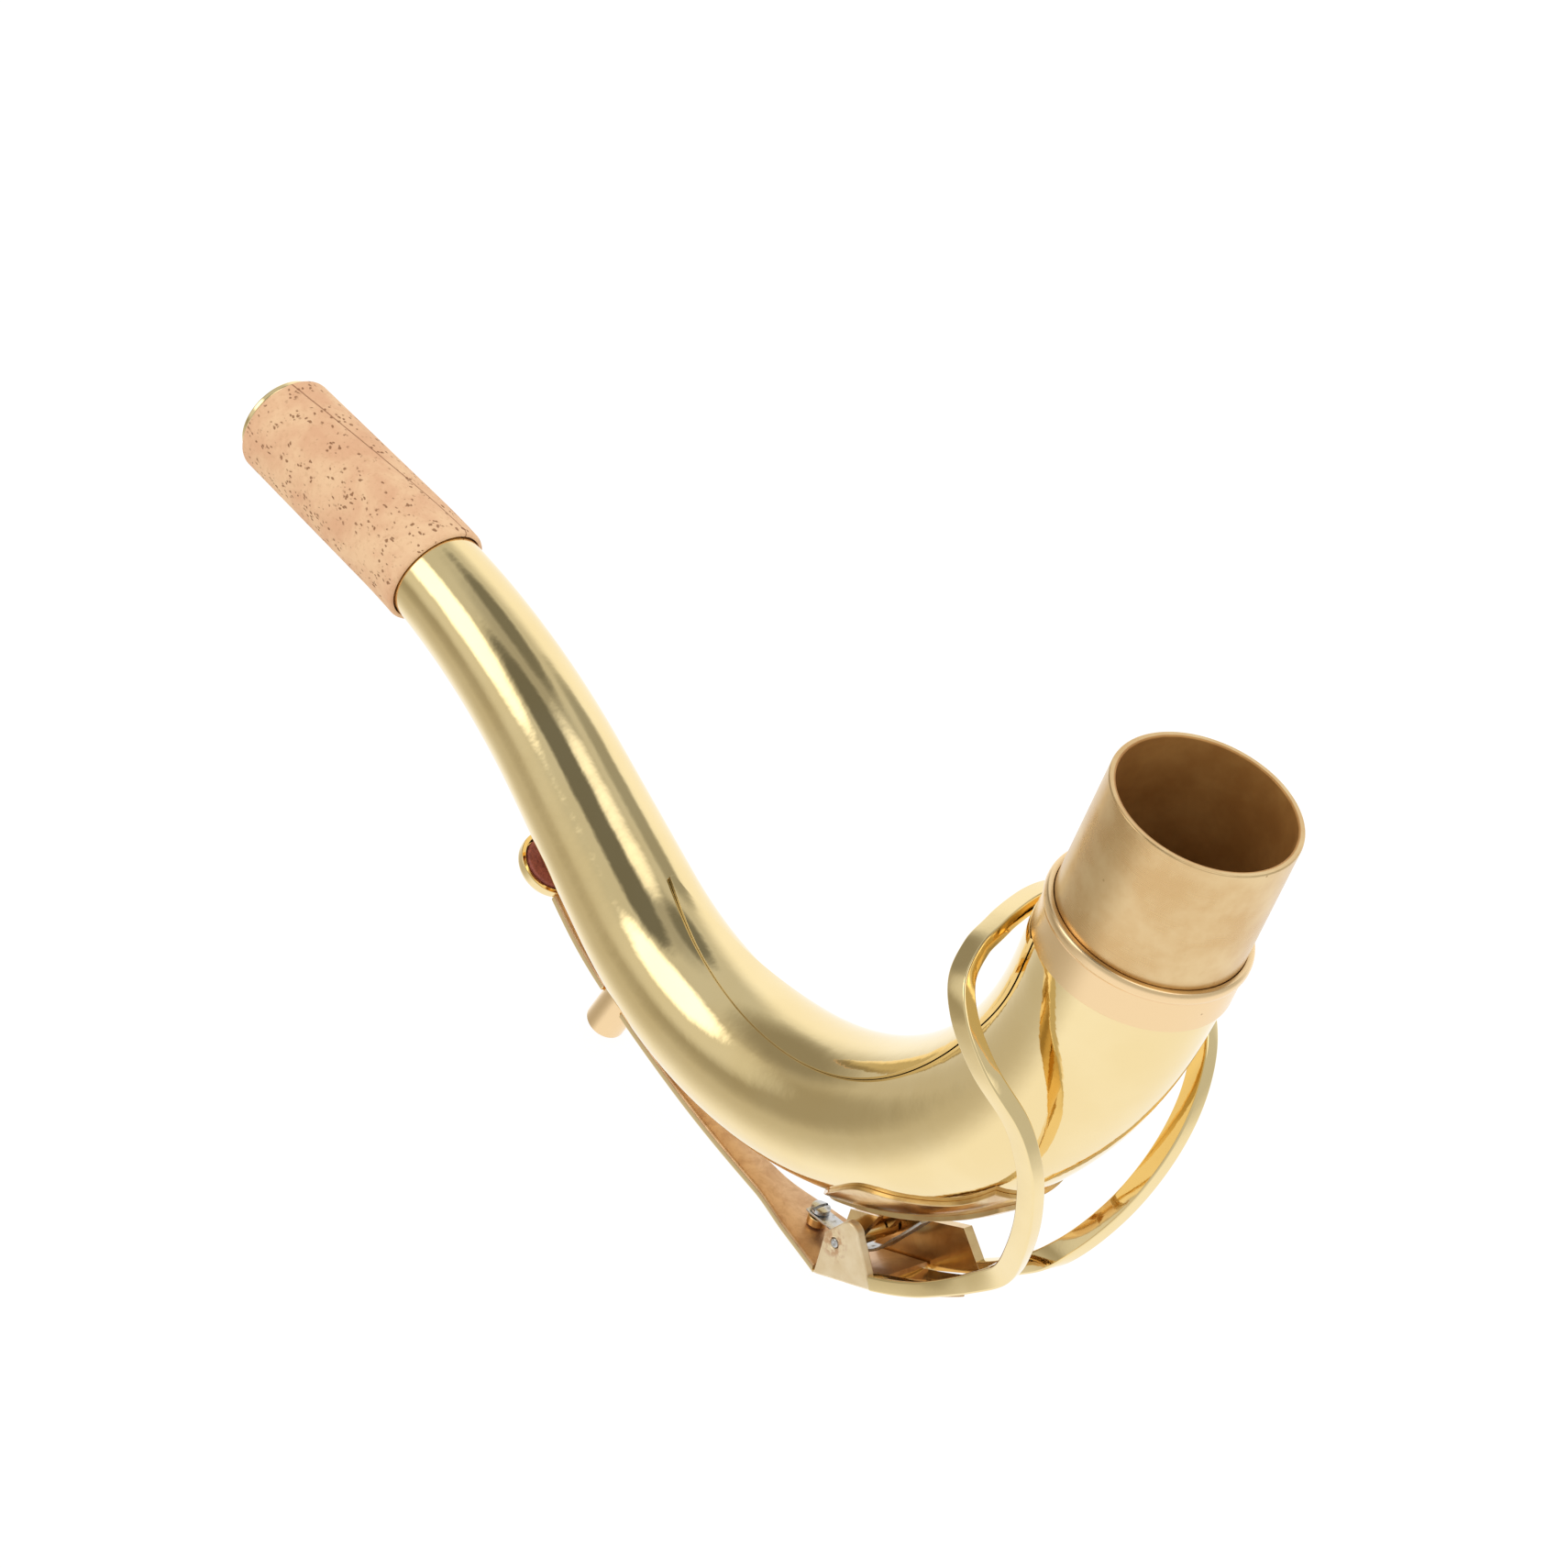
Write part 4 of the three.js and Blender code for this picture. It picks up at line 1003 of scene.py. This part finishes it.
def arm_piece(name, node, outer, half_width):
    """A strip under the given outer line."""
    forward = along_path(outer)
    outward = np.cross(forward, sideways)
    half = arm_thickness / 2
    grid = swept(outer - outward * half, sideways, outward, half_width, half, arm_corner)
    piece(name, grid, "octave_key", [node], arm_finish, rounded=0.2)


def key_arm():
    """From the plate under the hinge, out past the ears, and just into the bumper's socket."""
    bridge = from_pin(np.linspace(-ear_base_tenon, ear_base_tip, 16), ear_drop)
    share = np.linspace(0, share_beside(socket_station, arm_overlap - socket_diameter / 2), 90)
    outer = np.concatenate([bridge, smooth_path(arm_points, share)])
    width = np.concatenate([np.full(len(bridge), barrel_length / 2), arm_half_width(share)])
    arm_piece("forged_arm", "key_arm", outer, width)


def cup_arm():
    """From the socket to the side of the pad cup."""
    share = np.linspace(share_beside(socket_station, socket_diameter / 2 - arm_overlap),
                        share_beside(vent_station, arm_overlap - cup_diameter / 2), 60)
    arm_piece("forged_cup_arm", "cup_arm", smooth_path(arm_points, share), arm_half_width(share))


key_arm()
cup_arm()


# The bumper is a turned brass socket with a cork plug glued in it. The plug stops the key against the
# tube without a click.
bumper_diameter = 3.6
bumper_height = 0.4
bumper_depth = 2.6
bumper_rounding = 0.3
socket_inner_height = 1.7
socket_outer_height = 9.3
socket_rim_width = 0.7
socket_dish_slope = 0.1
socket_dish_depth = 0.12


def bumper_socket():
    """A blind cup with rounded edges and a shallow turned dish in its outer end."""
    bore, outer = bumper_diameter / 2 + seam_gap, socket_diameter / 2
    bore_end = bumper_height + bumper_depth + seam_gap
    rim, dish = outer - socket_rim_width, socket_outer_height - socket_dish_depth
    profile = [[0, bore_end], [bore, bore_end], [bore, socket_inner_height], [outer, socket_inner_height],
               [outer, socket_outer_height], [rim, socket_outer_height], [rim - socket_dish_slope, dish],
               [0, dish]]
    grid = turned_on_tube(profile, socket_station, sides=80)
    piece("turned_socket", grid, "octave_key", ["bumper_socket"], satin, rounded=0.2)


def bumper_cork():
    """A short plug with its edge worn off."""
    radius, top = bumper_diameter / 2, bumper_height + bumper_depth
    profile = [[0, bumper_height], [radius - bumper_rounding, bumper_height],
               [radius, bumper_height + bumper_rounding], [radius, top], [0, top]]
    grid = turned_on_tube(profile, socket_station, sides=64)
    piece("cork_plug", grid, "octave_key", ["bumper_cork"], cork)


bumper_socket()
bumper_cork()


# The pad cup is a drawn brass dish. Its pad is a card disc and felt under reddish brown leather, swollen a
# little in the middle and printed with the ring of the vent it closes.
cup_wall = 0.7
cup_rim_height = 3.3
cup_back_height = 5.8
cup_shoulder_radius = 1.5
cup_back_rise = 0.15
cup_crown_radius = 1.8
cup_crown_drop = 0.03
pad_face_height = 3
pad_edge_rounding = 0.35
pad_dome = 0.04
pad_print_depth = 0.06
pad_print_width = 0.25
pad_print_inset = 0.1
leather_thickness = 0.9
pad_radius = cup_diameter / 2 - cup_wall - seam_gap


def pad_cup():
    """A dish with a rounded shoulder and a slightly domed back."""
    outer, floor = cup_diameter / 2, cup_back_height - cup_wall
    bore = outer - cup_wall
    inside = [[0, floor], [bore, floor], [bore, cup_rim_height], [outer, cup_rim_height]]
    angle = np.linspace(0, np.pi / 2, 10)
    shoulder = np.stack([outer - cup_shoulder_radius * (1 - np.cos(angle)),
                         cup_back_height - cup_back_rise - cup_shoulder_radius * (1 - np.sin(angle))], -1)
    back = [[cup_crown_radius, cup_back_height - cup_crown_drop], [0, cup_back_height]]
    grid = turned_on_tube(np.concatenate([inside, shoulder, back]), vent_station, sides=96)
    piece("drawn_cup", grid, "octave_key", ["pad_cup"], brass, rounded=0.12)


def kid_leather():
    """Oiled kid leather: red brown, fine pores and creases, a soft sheen."""
    material, place = new_material("kid_leather")
    creases = noise(place, 900, 4, 0.65)
    return finished(material, {
        "Base Color": creases.step(0.3, 0.7).blend((0.42, 0.11, 0.075, 1), (0.26, 0.065, 0.045, 1)),
        "Roughness": 0.42 + 0.2 * creases, "Specular IOR Level": 0.45,
        "Normal": bump(scattered(place, 3200).step(0.1, 0.5) + creases, 0.00004, 0.5),
    })


def pad_leather():
    """The face is a low dome with a quarter-circle edge, and a dent, a narrow bell, round the pip's rim."""
    flat_radius = pad_radius - pad_edge_rounding
    round_edge = pad_radius - pad_edge_rounding * np.cos(np.linspace(0, np.pi / 2, 8)[1:])
    radius = np.concatenate([np.linspace(0, flat_radius, 30), round_edge])
    from_print = (radius - pip_diameter / 2 + pad_print_inset) / pad_print_width
    edge = np.clip((radius - flat_radius) / pad_edge_rounding, 0, 1)
    face = (pad_face_height + pad_print_depth * np.exp(-from_print**2)
            + pad_edge_rounding * (1 - np.sqrt(1 - edge**2)) + pad_dome * (radius / pad_radius) ** 2)
    back = pad_face_height + leather_thickness
    profile = np.concatenate([np.stack([radius, face], -1), [[pad_radius, back], [0, back]]])
    grid = turned_on_tube(profile, vent_station, sides=96)
    pad = piece("leather_pad", grid, "octave_key", ["pad_leather"], kid_leather())


def pad_card():
    """Pale tan card with short fibres."""
    material, place = new_material("pad_card")
    fibres = noise(place, 2600, 4, 0.7)
    colour = fibres.blend((0.5, 0.36, 0.22, 1), (0.66, 0.52, 0.36, 1))
    return finished(material, {"Base Color": colour, "Roughness": 0.85, "Normal": bump(fibres, 0.00005, 0.5)})


def pad_backing():
    """The card disc behind the leather, with eased edges."""
    start, end = pad_face_height + leather_thickness + seam_gap, cup_back_height - cup_wall - seam_gap
    profile = [[0, start], [pad_radius, start], [pad_radius, end], [0, end]]
    grid = turned_on_tube(profile, vent_station, sides=64)
    piece("card_disc", grid, "octave_key", ["pad_backing"], pad_card(), rounded=0.1)


pad_cup()
pad_leather()
pad_backing()


# The ring is a forged bar that loops round the tube's tenon end, so that a thumb lever can push it. Its two
# ends run back along the dished key plate to the ears.
ring_depth = 3.2
ring_thickness = 2.4
ring_corner = 0.34
bar_depth = 2.3
bar_thickness = 2
ring_crest_station = 32.2
ring_root_station = 70.5
ring_path_shares = [
    [1, 0.081, 1], [0.871, 0.081, 0.99], [0.764, 0.077, 0.94], [0.66, 0.083, 0.89], [0.547, 0.136, 0.78],
    [0.425, 0.206, 0.65], [0.313, 0.289, 0.56], [0.233, 0.383, 0.545], [0.18, 0.5, 0.64],
    [0.122, 0.589, 0.74], [0.073, 0.653, 0.74], [0.031, 0.725, 0.57], [0.011, 0.811, 0.37],
    [0.004, 0.906, 0.29], [0, 1, 0.28],
]


def station_of(point):
    """Station of the centreline's point nearest to a point."""
    return line_station[np.argmin(np.hypot(line_x - point[0], line_z - point[2]))]


arm_start_station = station_of(from_pin(-ear_base_tenon, ear_drop))


def ring_rows():
    """[station, angle, height] rows from the near end over the crest; the far half mirrors the near one."""
    reach = arm_start_station - 2 * seam_gap - ring_crest_station
    near = [ring_crest_station, 0, 0] + np.array(ring_path_shares) * [reach, -np.pi, ring_bar_height]
    far = near[-2:0:-1] * [1, -1, 1] - [0, 2 * np.pi, 0]
    near[0, 0] = arm_start_station
    far[-1, 0] = cheek_station
    return np.concatenate([near, far])


def key_ring():
    """The rounded bar, square to its path and with its depth across the ring's own plane."""
    row = smooth_path(ring_rows(), np.linspace(0, 1, 401))
    middle = above_tube(row[:, 0], row[:, 1], row[:, 2])
    forward = along_path(middle)
    up_the_ring = above_tube(ring_crest_station, np.pi, 0) - above_tube(ring_root_station, 0, ring_bar_height)
    facing = np.cross(up_the_ring, sideways)
    facing = facing / np.linalg.norm(facing)
    deep = facing - forward * (forward @ facing)[:, None]
    deep = deep / np.linalg.norm(deep, axis=1)[:, None]
    into = np.clip((row[:, 0] - ring_root_station) / (cheek_station - ring_root_station), 0, 1)
    bar_share = into**2 * (3 - 2 * into)
    half_depth = (ring_depth + (bar_depth - ring_depth) * bar_share) / 2
    half_thickness = (ring_thickness + (bar_thickness - ring_thickness) * bar_share) / 2
    grid = swept(middle, np.cross(forward, deep), deep, half_thickness, half_depth, ring_corner)
    piece("forged_ring", grid, "octave_key", ["key_ring"], brass, rounded=0.2)


key_ring()


# The key plate is a dished brass sheet between the ring's bars, cut to a hollow curve at its tenon end. It is
# brazed to them, and the heat has left it brown and mottled.
plate_thickness = 1
plate_end_station = 79
plate_end_hollow = 3


def key_plate():
    """A sheet that follows the tube's curve at the bars' height; its end is a parabola."""
    half_width = ear_outer - bar_thickness - 2 * seam_gap
    outer_height = ring_bar_height + bar_depth / 2
    side = np.linspace(-1, 1, 30)
    end = plate_end_station + plate_end_hollow * (1 - side**2)
    station = arm_start_station + (end - arm_start_station) * np.linspace(0, 1, 40)[:, None]
    inner, outer = (
        above_tube(station, np.arcsin(half_width * side / (tube_radius(station) + height)), height)
        for height in (outer_height - plate_thickness, outer_height)
    )
    piece("dished_plate", closed_sheet(inner, outer), "octave_key", ["key_plate"], brazed,
          rounded=0.2)


key_plate()


# The flat spring is a strip of spring steel. Its slotted screw holds it on a small boss on the arm, and its
# free end presses on the saddle, so the key stands shut.
spring_thickness = 0.4
spring_width = 2.8
spring_corner = 0.09
spring_tail = 1.4
spring_bow = 0.4
spring_tip_station = 86
screw_station = 105
screw_diameter = 2.8
screw_height = 0.8
screw_dome = 0.18
screw_edge_drop = 0.1
screw_slot_width = 0.5
screw_slot_depth = 0.4
slot_lip_width = 0.01
boss_diameter = 3
boss_height = 1.4
boss_start = arm_thickness + seam_gap
spring_start = boss_start + boss_height + seam_gap


def screw_seat():
    """Point on the arm's outer line over the screw, with the forward and inward directions there."""
    line = smooth_path(arm_points, np.linspace(0, 1, 2001))
    forward = along_path(line)
    nearest = np.argmin([abs(station_of(point) - screw_station) for point in line])
    return line[nearest], forward[nearest], -np.cross(forward[nearest], sideways)


screw_point, screw_forward, inward = screw_seat()


def spring_boss():
    """A short turned post."""
    radius, top = boss_diameter / 2, boss_start + boss_height
    profile = [[0, boss_start], [radius, boss_start], [radius, top], [0, top]]
    grid = turned(profile, screw_point, inward, 48)
    piece("spring_post", grid, "octave_key", ["spring_boss"], brazed, rounded=0.15)


def spring_screw():
    """A round head with a slot: rows across the head, each a low arch that drops into the slot."""
    start = spring_start + spring_thickness + seam_gap
    radius, half_slot = screw_diameter / 2, screw_slot_width / 2
    side = radius * np.sin(np.linspace(-np.pi / 2, np.pi / 2, 40))
    reach = np.maximum(np.sqrt(np.maximum(radius**2 - side**2, 0)), half_slot + slot_lip_width)
    top = screw_height - screw_dome * (side / radius) ** 2
    rim = top - screw_edge_drop
    foot, floor = np.zeros_like(side), np.full_like(side, screw_height - screw_slot_depth)
    slot_edge, crest = np.full_like(side, half_slot), (reach + half_slot) / 2
    half_across = np.stack([reach, reach, crest, slot_edge, slot_edge], 1)
    half_up = np.stack([foot, rim, top, top, floor], 1)
    across = np.concatenate([-half_across, half_across[:, ::-1]], 1)[..., None]
    up = np.concatenate([half_up, half_up[:, ::-1]], 1)[..., None]
    rows = screw_point + across * screw_forward + side[:, None, None] * sideways + (start + up) * inward
    caps = np.repeat(rows[[0, -1]].mean(1, keepdims=True), rows.shape[1], 1)
    grid = np.concatenate([caps[:1], rows, caps[1:]])
    piece("slotted_screw", grid, "octave_key", ["spring_screw"], steel)


def flat_spring():
    """A strip from the screw, past the barrel, to the saddle."""
    at_screw = screw_point + inward * (spring_start + spring_thickness / 2)
    past_barrel = barrel_diameter / 2 + seam_gap + spring_thickness
    at_barrel = from_pin(-past_barrel / 2, past_barrel)
    tip = above_tube(spring_tip_station, 0, doubler_outer + seam_gap + spring_thickness / 2)
    bow = (at_barrel + tip) / 2 + hinge_outward * spring_bow
    middle = smooth_path([at_screw + screw_forward * spring_tail, at_screw, at_barrel, bow, tip],
                         np.linspace(0, 1, 80))
    outward = np.cross(along_path(middle), sideways)
    grid = swept(middle, sideways, outward, spring_width / 2, spring_thickness / 2, spring_corner)
    spring = piece("blued_spring", grid, None, ["flat_spring"], steel, rounded=0.1)
    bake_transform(spring)


spring_boss()
spring_screw()
flat_spring()
